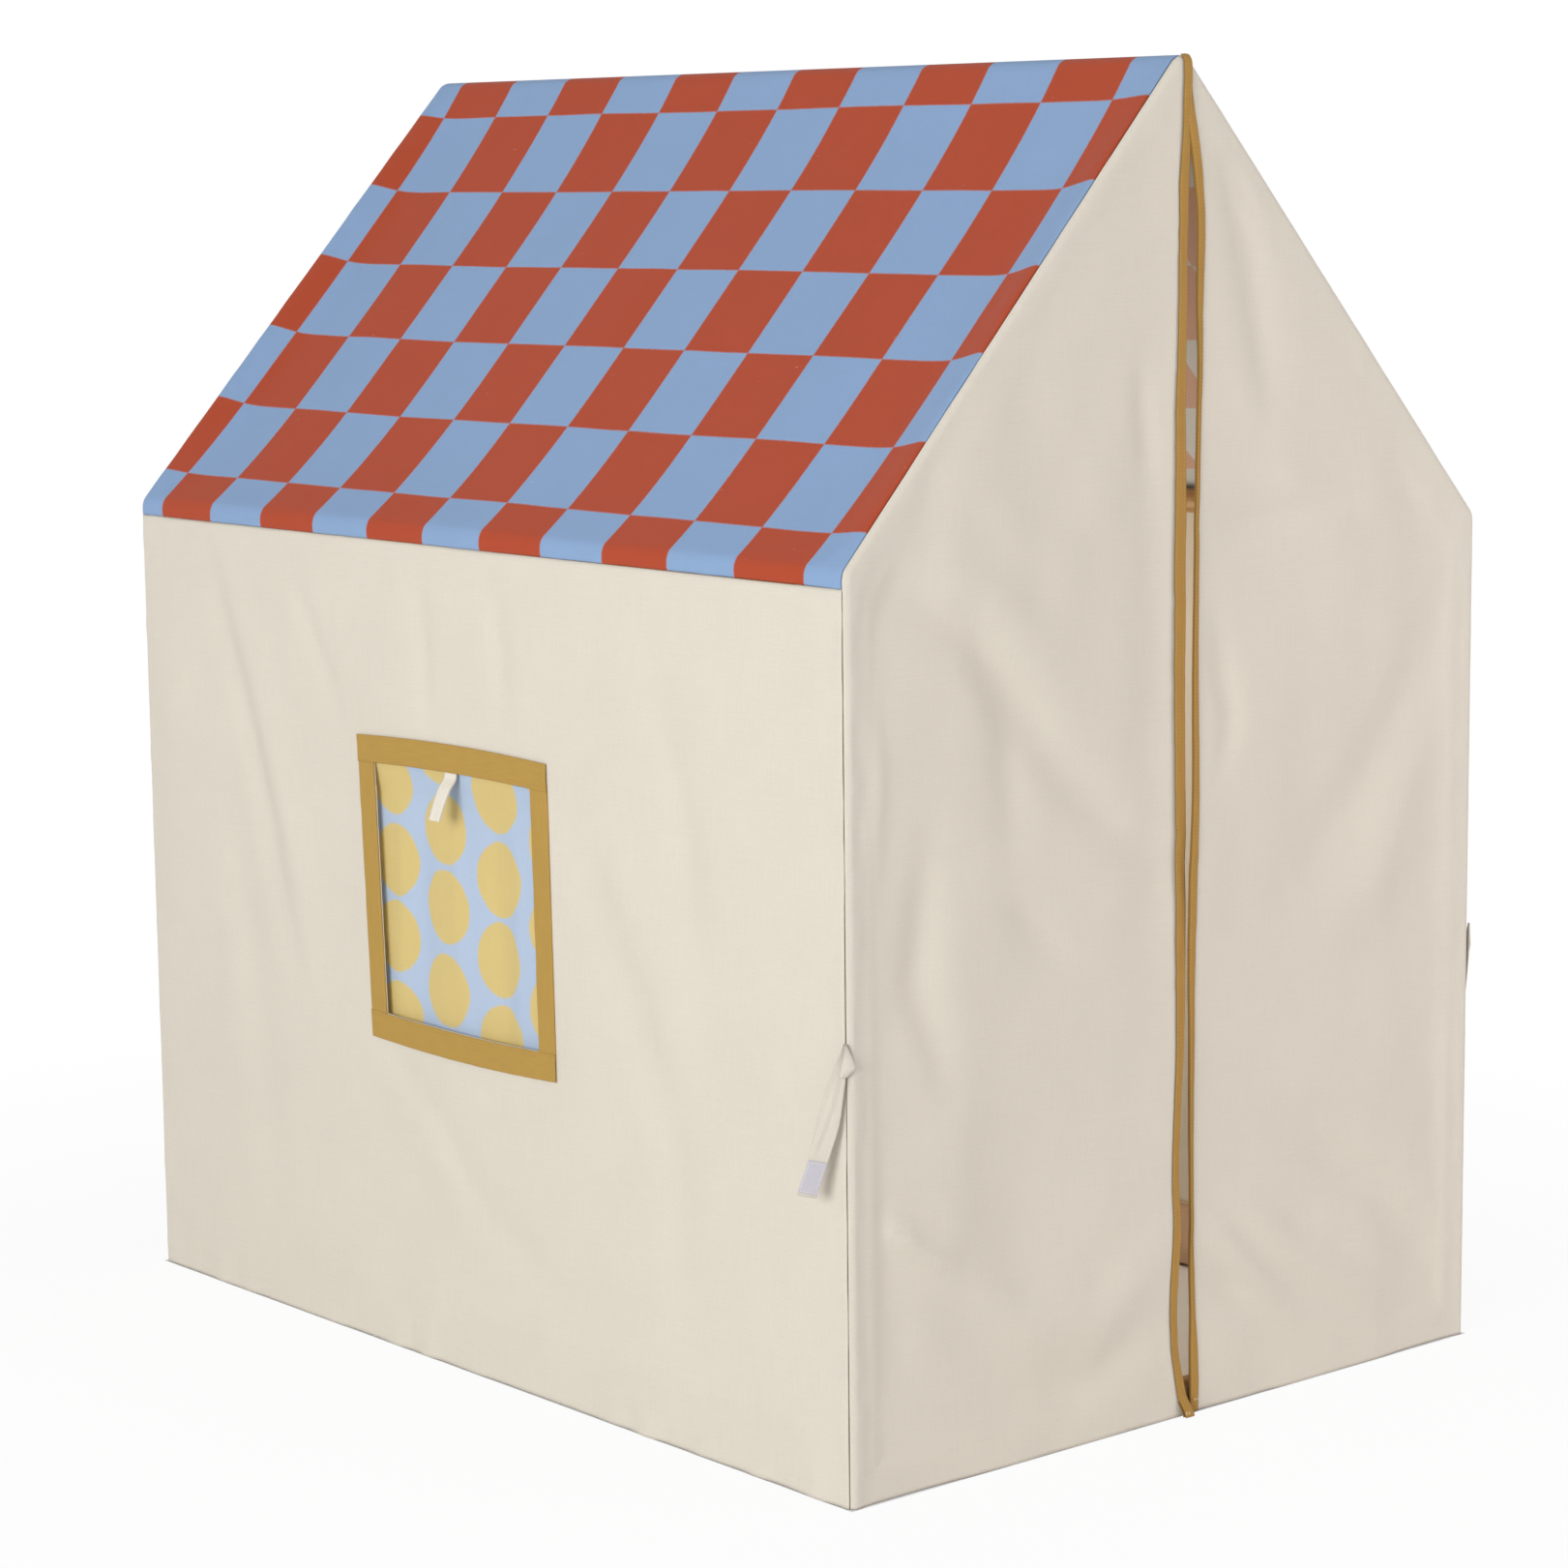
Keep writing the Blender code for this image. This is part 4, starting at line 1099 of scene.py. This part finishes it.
def gable_top(x):
    """Height of the gable's seam with the roof at x"""
    across = np.abs(x)
    arc = RIDGE_Z + np.sqrt(np.maximum(GABLE_RADIUS**2 - across**2, 0))
    line = RIDGE_Z + GABLE_RADIUS * math.cos(SLOPE) - (across - CREST_END) * math.tan(SLOPE)
    eave = EAVE_Z + np.sqrt(np.maximum(GABLE_RADIUS**2 - (across - EAVE_X) ** 2, 0))
    top = np.where(across < CREST_END, arc, np.where(across < EAVE_START, line, eave))
    return np.where(across > EAVE_X + GABLE_RADIUS, EAVE_Z, top)


def gable_swell(x, z, folds, seed):
    """How far a gable's cloth stands out at x, z"""
    from_side = HALF_WIDTH - np.abs(x)
    from_top = (gable_top(x) - z) * math.cos(SLOPE)
    calm = ease(from_side, 0.008, 0.05) * ease(from_top, 0.003, 0.05)
    sunk = ease(from_side, 0.007, 0.040) * (1 - ease(from_side, 0.05, 0.16)) * ease(from_top, 0.0, 0.06)
    zones = {
        "flat": calm,
        "sunk strip": sunk,
        "corner seam": hump(from_side, 0.018, 0.010) * ease(from_top, 0.0, 0.03),
        "hem": hump(z, 0.0, 0.05) * ease(from_side, 0.012, 0.05),
        "roof seam": hump(from_top, 0.014, 0.014) * ease(from_side, 0.01, 0.04),
    }
    swell = folded(x, z, folds, GABLE_FOLD_DEPTH, calm) - SIDE_SINK * sunk
    return held_off(swell + waves(x, z, GABLE_WAVES, zones, seed), from_side, from_top, z)


def flap_wave(x, z, seed):
    """The door edges' own slow wave, which dies out away from the slit"""
    near = hump(np.abs(x - 0.01), 0.0, 0.10) * ease(z, 0.0, 0.12) * ease(1.36 - z, 0.0, 0.25)
    return 0.0030 * near * cloud(z, 0.0, 0.17, seed)


def apex_lap(side, z):
    """How far the left half laps over the right one below the apex"""
    return APEX_LAP * ease(z, *APEX_LAP_SPAN) * (side < 0)


def gable_fan(x):
    """The direction in a gable's plane, at x, that leads square over its upper edge"""
    across = np.abs(x)
    over_eave = np.clip((across - EAVE_X) / GABLE_RADIUS, math.sin(SLOPE), 1.0)
    sine = np.where(across < EAVE_X, np.minimum(across / GABLE_RADIUS, math.sin(SLOPE)), over_eave)
    return np.sign(x) * sine, np.sqrt(1 - sine * sine)


def gable_place(face, folds, seed, side=0, line=None):
    """The place on a gable for a point of its cloth, on one side of the slit's line if there is one

    up is a share of the gable's height, and past 1 metres over its upper edge.
    """
    low_turns, top_turns = corner_turns(GABLE_WRAP), corner_turns(GABLE_TOP_WRAP)
    low_arc, high_arc = low_turns[0][0], top_turns[0][0]

    def place(across, up):
        end = np.sign(across)
        outer = across * side > 0.2 if side else np.abs(across) > GABLE_FLAT - 0.02
        run = np.where(outer, np.abs(across) - GABLE_FLAT, -1.0)
        share = np.minimum(up, 1.0)
        x = np.where(outer, end * np.minimum(np.abs(across), GABLE_FLAT), across)
        z = FOOT + share * (gable_top(x) - FOOT)
        arc = low_arc + (high_arc - low_arc) * ease(z, SEAM - WRAP_CHANGE, SEAM + WRAP_CHANGE)
        run = np.where(run < low_arc, run * np.where(run > 0, arc / low_arc, 1.0), run - low_arc + arc)
        turns = ((arc, 1 / CORNER_RADIUS), *low_turns[1:])
        forward, inward, heading = (np.where(outer, part, 0.0) for part in follow(run, turns))
        x = x + end * np.maximum(forward, 0.0)
        own = 0.0
        if side:
            target = smooth_line(line, z) - side * BINDING_TUCK * smooth_line(line, z, 2)
            near = ease(SLIT_ZONE - across * side, 0.0, SLIT_ZONE)
            x = x + (target - x) * near
            z = FOOT + share * (gable_top(x) - FOOT)
            own = flap_wave(x, z, seed + 9) + apex_lap(side, z) * near
        swell = gable_swell(x, z, folds, seed) + own
        fan_x, fan_z = gable_fan(x)
        over, sunk, tilt = follow(np.maximum(up - 1.0, 0.0), top_turns)
        x, z = x + fan_x * over, z + fan_z * over
        heading, inward = heading + tilt, inward + sunk
        swell = swell * np.cos(heading)
        y = face * (HALF_LENGTH - inward + swell * np.cos(heading))
        aside = swell * np.sin(heading)
        return np.stack([x + fan_x * aside, y, z + fan_z * aside * (up > 1.0)], -1)

    return place


def on_gable(across, up):
    """Whether cells belong to the gable: its side wraps end where its upper edge starts"""
    return (np.abs(across) < GABLE_FLAT) | (up < 1.0)


def gable_mesh(name, across, place, face):
    def uv(across, up):
        points = place(across, up)
        return points[..., 0] + UV_SPAN / 2, points[..., 2]

    edge = turn_runs(1.0, corner_turns(GABLE_TOP_WRAP))
    rows = stops((0.0, 0.05, 14), (0.05, 0.70, 80), (0.70, 0.97, 70), (0.97, 1.0, 16), *edge)
    return sheet_mesh(name, across, rows, place, COTTON, (0, face, 0), uv, keep=on_gable)


def gable_columns():
    """Positions from a gable's middle to its seam with the wall"""
    inner = [(0.0, CREST_END, 4), (CREST_END, SLIT_ZONE, 26), (SLIT_ZONE, GABLE_FLAT - 0.05, 46)]
    outer = [(GABLE_FLAT - 0.05, EAVE_START, 14), (EAVE_START, GABLE_FLAT, 5)]
    return stops(*inner, *outer, *turn_runs(GABLE_FLAT, corner_turns(GABLE_WRAP)))


def make_back_gable():
    half = gable_columns()
    across = np.concatenate([-half[:0:-1], half])
    made = gable_mesh("back_cover", across, gable_place(1, BACK_FOLDS, 61), 1)
    sewn(made, "tent", "cotton", "back_gable")


def make_front():
    folds, lines, seeds = (LEFT_HALF_FOLDS, RIGHT_HALF_FOLDS), (LEFT_EDGE, RIGHT_EDGE), (81, 101)
    for (side, name), own, line, seed in zip(SIDES, folds, lines, seeds):
        across = gable_columns()
        across = across if side > 0 else -across[::-1]
        made = gable_mesh(f"front_cover_{name}", across, gable_place(-1, own, seed, side, line), -1)
        sewn(made, name, "cotton", f"front_gable_{name}", f"door_flap_{name}")
        flat, area = (GABLE_SIZE[0] / 2, CREST), GABLE_AREA / 2
        make_binding(side, name, line, own, seed)


def make_binding(side, name, line, folds, seed):
    """Tape folded over one edge of the slit, with its stitches"""
    leaf, fold, length = BINDING_LEAF, BINDING_FOLD, BINDING_WHOLE
    bend_start = float(gable_top(smooth_line(line, CREST)))
    over_edge = corner_turns(GABLE_TOP_WRAP)[:1]
    top = bend_start + over_edge[0][0] * (1.0 if side < 0 else 0.2)

    def place(run, z):
        rise, sunk, tilt = follow(z - bend_start, over_edge)
        z = np.minimum(z, bend_start)
        x = smooth_line(line, z)
        flare = BINDING_FLARE * ease(FLARE_HEIGHT - z, 0.0, FLARE_HEIGHT) * (side < 0)
        lies = gable_swell(x, z, folds, seed) + flap_wave(x, z, seed + 9) + apex_lap(side, z) + flare
        forward, inward, heading = follow(run - leaf, ((fold, math.pi / fold), (leaf, 0.0)))
        dome = BINDING_DOME * np.sin(math.pi * np.clip(run / leaf, 0, 1)) ** 2
        spread = BINDING_SPREAD * cloud(z, 0.0, 0.012, seed + 4) * (1 - run / length)
        across = forward + leaf - BINDING_WIDTH / 2 + spread
        across = across * smooth_line(line, z, 2) / BINDING_WIDTH
        proud = lies + BINDING_RADIUS - CLOTH / 2 - inward + dome
        y = -HALF_LENGTH + sunk - proud * np.cos(tilt)
        z = z + np.maximum(rise, 0.0) + proud * np.sin(tilt)
        return np.stack([x - side * across, y, z], -1)

    heights = stops((FOOT, 0.03, 12), (0.03, 0.95, 130), (0.95, bend_start, 130), (bend_start, top, 6))
    run = stops((0.0, leaf, 7), (leaf, leaf + fold, 6), (leaf + fold, length, 5))
    tape = f"slit_binding_{name}"
    made = sheet_mesh(tape, run, heights, place, BINDING, (0, -1, 0), binding_uv, BINDING_CLOTH)
    sewn(made, name, "mustard_tape", f"door_binding_{name}", f"apex_binding_{name}")
    flat_width = length * float(smooth_line(line, heights, 2).mean()) / BINDING_WIDTH
    top - FOOT
    low, high = FOOT + SLIT_ROW_ENDS[0], bend_start - SLIT_ROW_ENDS[1]
    tack = FOOT + TACK_HEIGHTS[side]
    raised = (0, -THREAD_LIFT, 0)
    rows = [[line_on(place, (inset, low), (inset, high), 139, raised)] for inset in SLIT_ROWS]
    bars = [((leaf * TACK_SPAN[0], z), (leaf * TACK_SPAN[1], z)) for z in (tack, tack + TACK_GAP)]
    rows.append([line_on(place, start, end, 8, raised) for start, end in bars])
    for number, (row, finish) in enumerate(zip(rows, (MUSTARD_THREAD, MUSTARD_THREAD, PALE_THREAD))):
        sewn(stitches(f"slit_stitches_{name}_{number}", row, (0, -1, 0), finish), name, "mustard_tape")


# Window

STRIP_CLOTH = 0.0011
STRIP_RISE = 0.0013
STRIP_EDGE = 0.0042
STRIP_PILLOW = 0.0007
STRIP_PILLOW_EDGE = 0.0016
STRIP_UNEVEN = 0.0004
STITCH_INSET = 0.0024
STITCH_DIP = 0.0005
STITCH_DIP_WIDTH = 0.0007
TAPE_OVERLAP = 0.008


def strip(name, low, high, lift, node, counts):
    """One strip of the window's tape, low and high being its corners (y, z) on the true wall"""
    uv = level_tape_uv if counts[0] > counts[1] else upright_tape_uv

    def place(y, z):
        edge = np.minimum.reduce([y - low[0], high[0] - y, z - low[1], high[1] - z])
        pillow = STRIP_PILLOW * ease(edge, 0.0, STRIP_PILLOW_EDGE) + STRIP_UNEVEN * cloud(y, z, 0.02, 151)
        dip = STITCH_DIP * hump(edge, STITCH_INSET, STITCH_DIP_WIDTH)
        return LEFT_WALL(y, z, STRIP_RISE + lift + pillow - dip)

    y, z = (edged_stops(start, end, STRIP_EDGE, 7, count) for start, end, count in zip(low, high, counts))
    made = sheet_mesh(name, y, z, place, MUSTARD, (-1, 0, 0), uv, STRIP_CLOTH)
    sewn(made, "tent", "mustard_tape", node)
    near, far = [value + STITCH_INSET for value in low], [value - STITCH_INSET for value in high]
    corners = (near, (far[0], near[1]), far, (near[0], far[1]))
    lines = lines_round(place, corners, 32, (-THREAD_LIFT, 0, 0))
    row = stitches(f"{name}_stitches", lines, (-1, 0, 0), MUSTARD_THREAD)
    sewn(row, "tent", "mustard_tape")


def make_window():
    (near, low), (far, high) = WINDOW_LOW.yz, WINDOW_HIGH.yz
    foot, head = SILL - TAPE_OVERLAP, HEAD + TAPE_OVERLAP
    for name, start, end, lift, counts in (
        ("front", (near, foot), (near + TAPE_WIDTH, head), 0.0, (10, 50)),
        ("back", (far - TAPE_WIDTH, foot), (far, head), 0.0, (10, 50)),
        ("top", (near, HEAD), (far, high), STRIP_CLOTH, (64, 10)),
        ("bottom", (near, low), (far, SILL), STRIP_CLOTH, (64, 10)),
    ):
        strip(f"window_tape_frame_{name}", start, end, lift, f"window_tape_{name}", counts)
    make_curtain()
    make_tab()


CURTAIN_CLOTH = 0.0006
CURTAIN_AWAY = 0.0075

# Folds of the curtain, in millimetres: points (y, z), width, height
CURTAIN_FOLDS = (
    (((-85, 672), (-95, 550), (-90, 360)), 16, 3),
    (((-45, 672), (-50, 520), (-70, 360)), 20, -3.4),
    (((15, 672), (20, 520), (10, 360)), 18, 2.6),
    (((75, 672), (85, 520), (80, 360)), 18, -3.2),
    (((125, 672), (120, 520), (128, 360)), 16, 3),
    (((-130, 672), (-135, 520), (-125, 360)), 14, -2.6),
)


def make_curtain():
    low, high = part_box("window_curtain")
    hang = -HALF_WIDTH + CLOTH + 0.0012

    def place(y, z):
        drop = high.z - z
        swing = strokes(y, z, CURTAIN_FOLDS) + 0.0008 * cloud(y, z, 0.05, 171, 2.0)
        x = hang + CURTAIN_AWAY * ease(drop, 0.004, 0.05) - swing * ease(drop, 0.006, 0.07)
        return np.stack([x, y, z], -1)

    def uv(y, z):
        return y + DOT_SHIFT[0], z + DOT_SHIFT[1]

    y, z = stops((low.y, high.y, 84)), stops((low.z, high.z, 76))
    made = sheet_mesh("window_blind", y, z, place, CURTAIN_PRINT, (-1, 0, 0), uv, CURTAIN_CLOTH)
    sewn(made, "curtain", "curtain_print", "window_curtain")


TAB_WIDTH = 0.022
TAB_LEAN = math.radians(30)
TAB_CLOTH = 0.0007
TAB_RADIUS = 0.0009
TAB_BOW = 0.0012
TAB_TAPER = 0.12


def make_tab():
    """A loop of webbing: down, round its lower end and back up"""
    low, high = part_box("window_tab")
    leaf = (high.z - low.z) / math.cos(TAB_LEAN) - 0.003
    fold = math.pi * TAB_RADIUS
    length = 2 * leaf + fold
    root = Vector((high.x - 0.0002, (low.y + high.y) / 2, high.z + 0.004))

    def place(run, side):
        forward, inward, heading = follow(run - leaf, ((fold, math.pi / fold), (leaf, 0.0)))
        down = forward + leaf
        proud = TAB_RADIUS - inward + TAB_BOW * np.sin(math.pi * np.clip(down / leaf, 0, 1))
        out = down * math.sin(TAB_LEAN) * ease(down, 0.0, 0.02) + proud * math.cos(TAB_LEAN)
        z = root.z - down * math.cos(TAB_LEAN) + proud * math.sin(TAB_LEAN)
        y = root.y + side * (1 - TAB_TAPER * down / leaf) - TAB_TAPER * down + 0.004
        return np.stack([root.x - out - TAB_BOW, y, z], -1)

    run = stops((0.0, leaf, 18), (leaf, leaf + fold, 8), (leaf + fold, length, 18))
    side = stops((-TAB_WIDTH / 2, TAB_WIDTH / 2, 8))
    made = sheet_mesh("window_loop", run, side, place, WEBBING, (-1, 0, 0), tab_uv, TAB_CLOTH)
    sewn(made, "tab", "webbing", "window_tab")
    out = (-math.cos(TAB_LEAN), 0, math.sin(TAB_LEAN))
    for number, aside in enumerate((-0.36 * TAB_WIDTH, 0.36 * TAB_WIDTH)):
        line = line_on(place, (leaf * 0.08, aside), (leaf * 0.94, aside), 19)
        sewn(stitches(f"window_loop_stitches_{number}", [line], out, PALE_THREAD), "tab", "webbing")


# Straps that tie the door back

STRAP_ROOT = 0.468
STRAP_LENGTH = 0.150
STRAP_WIDTH = 0.020
STRAP_TILT = 0.2
STRAP_CLOTH = 0.0009
STRAP_HEADINGS = {-1: math.radians(38), 1: math.radians(72)}

# A strap's outline, in millimetres: distance below its root, and its outer and inner edge's from the corner
STRAP_EDGES = (
    (0, 3, 1.8), (12, 8.5, 0.8), (28, 16, 1.5), (50, 23.8, 4.5), (79, 30.5, 8.5), (97, 35.5, 14.5),
    (113, 38.8, 20), (132, 45, 26.2), (150, 52, 33),
)

# The fold at a strap's root: its size, how far its tip reaches, its share of a rectangle and how proud it is
FOLD_DROP = 0.034
FOLD_TURN = 0.024
FOLD_TIPS = {-1: 0.0095, 1: 0.0030}
FOLD_PROUD = {-1: 1.0, 1: 0.45}
TRIM_CLOTH = 0.0008

PATCH_LENGTH = 0.032
PATCH_END = STRAP_LENGTH - 0.003
PATCH_START = PATCH_END - PATCH_LENGTH
PATCH_INSET = 0.0018


def on_strap(side, run, share, proud):
    """A point of a strap: run below its root, share across it (0 inner, 1 outer) and proud of its face"""
    outer, inner = smooth_line(STRAP_EDGES, run), smooth_line(STRAP_EDGES, run, 2)
    out = inner + share * (outer - inner)
    z = STRAP_ROOT - run + STRAP_TILT * (share - 0.5) * STRAP_WIDTH * ease(run, 0.02, 0.1)
    cosine, sine = math.cos(STRAP_HEADINGS[side]), math.sin(STRAP_HEADINGS[side])
    x = side * (HALF_WIDTH + out * cosine + proud * sine)
    y = -HALF_LENGTH + out * sine - proud * cosine
    return np.stack([x, y, z], -1)


def make_straps():
    for side, name in SIDES:
        body = f"{name}_strap"
        outward = (side * math.sin(STRAP_HEADINGS[side]), -math.cos(STRAP_HEADINGS[side]), 0)

        def place(run, share):
            line = 0.45 + 0.35 * ease(run, 0.03, 0.12)
            crease = 0.0018 * hump(share + 0.5, line, 0.10)
            ripple = 0.0012 * cloud(run, share * 0.02, 0.014, 201, 0.6) * ease(run, 0.085, 0.11)
            proud = 0.0010 + crease * ease(run, 0.02, 0.07) * ease(0.118 - run, 0.0, 0.02) + ripple
            return on_strap(side, run, share + 0.5, proud)

        run, share = stops((0.0, STRAP_LENGTH, 60)), stops((-0.5, 0.5, 12))
        strap = f"tie_back_{name}"
        made = sheet_mesh(strap, run, share, place, STRAP_COTTON, outward, strap_uv, STRAP_CLOTH)
        sewn(made, body, "webbing", f"tie_strap_{name}")
        make_strap_fold(side, name, body, outward)
        make_patch(name, body, outward, place)


def make_strap_fold(side, name, body, outward):
    """The folded corner at a strap's root, where it turns down out of the seam"""
    along = np.array([side * math.cos(STRAP_HEADINGS[side]), math.sin(STRAP_HEADINGS[side]), 0.0])

    def place(down, share):
        width = smooth_line(STRAP_EDGES, down) - smooth_line(STRAP_EDGES, down, 2)
        tip = FOLD_TIPS[side] * np.minimum(down / FOLD_TURN, (FOLD_DROP - down) / (FOLD_DROP - FOLD_TURN))
        proud = 0.0024 + 0.0020 * np.sin(math.pi * share) * ease(down, 0.0, 0.02) - 0.0014 * share
        reach = width * 0.45 * (1 - share) - tip * share
        return on_strap(side, down, 0.0, proud * FOLD_PROUD[side]) + reach[..., None] * along

    def uv(down, share):
        return tab_uv(down, share * 0.012 + 0.075)

    down = stops((0.0006, FOLD_TURN, 14), (FOLD_TURN, FOLD_DROP - 0.0012, 8))
    share = stops((0.0, 1.0, 8))
    fold = f"tie_back_fold_{name}"
    made = sheet_mesh(fold, down, share, place, STRAP_COTTON, outward, uv, TRIM_CLOTH)
    sewn(made, body, "webbing")


def make_patch(name, body, outward, strap_place):
    """The hook tape sewn to a strap's lower end"""

    def place(run, share):
        ends = np.minimum(run - PATCH_START, PATCH_END - run)
        edge = np.minimum(ends, (0.5 - np.abs(share)) * STRAP_WIDTH)
        lift = 0.0010 + 0.0005 * ease(edge, 0.0, 0.0018)
        return strap_place(run, share) + lift[..., None] * np.array(outward)

    run, share = edged_stops(PATCH_START, PATCH_END, 0.002, 3, 14), edged_stops(-0.5, 0.5, 0.1, 3, 8)
    made = sheet_mesh(f"hook_patch_{name}", run, share, place, HOOKS, outward, strap_uv, TRIM_CLOTH)
    sewn(made, body, "hook_tape", f"tie_patch_{name}")
    near, far, half = PATCH_START + PATCH_INSET, PATCH_END - PATCH_INSET, 0.5 - PATCH_INSET / STRAP_WIDTH
    lines = lines_round(place, ((near, -half), (near, half), (far, half), (far, -half)), 8)
    row = stitches(f"hook_patch_stitches_{name}", lines, outward, PALE_THREAD, 0.002, 0.001, 0.0005)
    sewn(row, body, "hook_tape")


# Poles and moulded corners

POLE_SIDES = 28
POLE_CHAMFER = 0.0015
SHARP_ANGLE = math.radians(50)


def make_pole(node, direction, length=None):
    """A round pole with softened ends, in place of the node, on the same middle line"""
    low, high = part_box(node)
    half = (length or max(high - low)) / 2
    turn = Vector(direction).normalized().to_track_quat("Z", "Y").to_matrix().to_4x4()
    shape = bmesh.new()
    rings = []
    for height in (-half, -half + POLE_CHAMFER, -half / 2, 0.0, half / 2, half - POLE_CHAMFER, half):
        radius = POLE_RADIUS - (POLE_CHAMFER if abs(height) == half else 0.0)
        ring = []
        for k in range(POLE_SIDES):
            angle = math.tau * k / POLE_SIDES
            point = Vector((radius * math.cos(angle), radius * math.sin(angle), height))
            ring.append(shape.verts.new((low + high) / 2 + turn @ point))
        rings.append(ring)
    for first, second in zip(rings, rings[1:]):
        for k in range(POLE_SIDES):
            j = (k + 1) % POLE_SIDES
            shape.faces.new((first[k], first[j], second[j], second[k]))
    shape.faces.new(rings[0][::-1])
    shape.faces.new(rings[-1])
    return shape


def make_poles():
    up, run = math.sin(SLOPE), math.cos(SLOPE)
    directions = {"x": (1, 0, 0), "y": (0, 1, 0), "z": (0, 0, 1)}
    directions.update({"rafter_left": (run, 0, up), "rafter_right": (-run, 0, up)})
    woods = {key: pine(f"pine_{key}", direction) for key, direction in directions.items()}
    jobs = [("ridge_pole", "y")]
    for side in ("left", "right"):
        jobs += [(f"eave_rail_{side}", "y"), (f"bottom_rail_{side}", "y")]
    for end in ("front", "back"):
        jobs.append((f"bottom_rail_{end}", "x"))
        for side in ("left", "right"):
            jobs += [(f"corner_post_{end}_{side}", "z"), (f"rafter_{end}_{side}", f"rafter_{side}")]
    for node, key in jobs:
        low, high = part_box(node)
        length = (high.x - low.x - 2 * POLE_RADIUS * up) / run if key.startswith("rafter") else None
        made = from_bmesh(f"{node}_wood", make_pole(node, directions[key], length), woods[key])
        made.data.set_sharp_from_angle(angle=SHARP_ANGLE)
        sewn(made, "tent", "pine", node)


def finish_corners():
    """The moulded corners keep their CAD shape and get their plastic"""
    for name, node in frame["nodes"].items():
        if "_corner_" in f"{name}_" and not name.startswith("corner_post"):
            for socket in node.material_slots:
                socket.material = MOULDING
            if not node.material_slots:
                node.data.materials.append(MOULDING)


# Camera, stage and lights


def make_camera():
    data = bpy.data.cameras.new("camera")
    data.lens = CAMERA_LENS
    data.sensor_width = CAMERA_SENSOR
    data.clip_end = 100
    made = put_in_scene("camera", data)
    turn = Matrix.Rotation(-CAMERA_HEADING, 4, "Z") @ Matrix.Rotation(math.pi / 2 - CAMERA_DIP, 4, "X")
    turn = turn @ Matrix.Rotation(CAMERA_ROLL, 4, "Z")
    made.matrix_world = Matrix.Translation(CAMERA_PLACE) @ turn
    bpy.context.scene.camera = made


def shown_plain(recipe):
    """1 for rays that the camera sees directly, through glass or in a reflection"""
    rays = recipe.add("ShaderNodeLightPath").outputs
    value, *others = (Value(recipe, rays[f"Is {kind} Ray"]) for kind in ("Camera", "Glossy", "Transmission"))
    for other in others:
        value = recipe.calc("MAXIMUM", value, other)
    return value


def floor_finish():
    """White paper: as lit near the tent, so that its shadow shows, and plain white farther off"""
    recipe = material("floor")
    sides = zip(recipe.split(recipe.object_place()), (HALF_WIDTH, HALF_LENGTH))
    away = [recipe.calc("MAXIMUM", recipe.calc("ABSOLUTE", value) - half, 0.0) for value, half in sides]
    far = recipe.calc("SQRT", away[0] * away[0] + away[1] * away[1])
    outside = recipe.step(far, 0.0, FLOOR_EDGE) * FLOOR_NEAR_WHITE
    white = recipe.step(far, 0.0, FLOOR_FADE) * (1 - FLOOR_NEAR_WHITE) + outside
    paper = recipe.give("ShaderNodeBsdfDiffuse", {"Color": FLOOR_PAPER})
    plain = recipe.give("ShaderNodeEmission", {"Color": WHITE, "Strength": 1.0})
    both = recipe.give("ShaderNodeMixShader", {0: shown_plain(recipe) * white, 1: paper, 2: plain})
    recipe.add("ShaderNodeOutputMaterial", {"Surface": both})
    return recipe.owner


def make_stage():
    shape = bmesh.new()
    corners = ((-1, -1), (1, -1), (1, 1), (-1, 1))
    shape.faces.new([shape.verts.new((x * STAGE_HALF, y * STAGE_HALF, 0)) for x, y in corners])
    from_bmesh("floor", shape, floor_finish())
    world = Recipe(bpy.data.worlds.new("world"))
    strength = shown_plain(world) * (1 - WORLD_LIGHT) + WORLD_LIGHT
    sky = world.give("ShaderNodeBackground", {"Color": WHITE, "Strength": strength})
    world.add("ShaderNodeOutputWorld", {"Surface": sky})
    bpy.context.scene.world = world.owner


def make_lights():
    for name, place, target, size, power, colour in LAMPS:
        data = bpy.data.lights.new(name, "AREA")
        data.shape = "RECTANGLE"
        data.size, data.size_y = size
        data.energy = power
        data.color = colour
        made = put_in_scene(name, data)
        made.location = place
        made.rotation_euler = (Vector(target) - Vector(place)).to_track_quat("-Z", "Y").to_euler()
    data = bpy.data.lights.new("inner_glow", "POINT")
    data.energy = GLOW_POWER
    data.color = GLOW_COLOUR
    data.shadow_soft_size = GLOW_RADIUS
    glow = put_in_scene("inner_glow", data)
    glow.location = GLOW_PLACE
    glow.visible_camera = False


make_camera()
make_stage()
make_lights()
make_roof()
make_walls()
make_corner_seam_shades()
make_hem_tunnels()
make_back_gable()
make_front()
make_window()
make_straps()
make_poles()
finish_corners()

bpy.context.scene.view_settings.view_transform = "Standard"
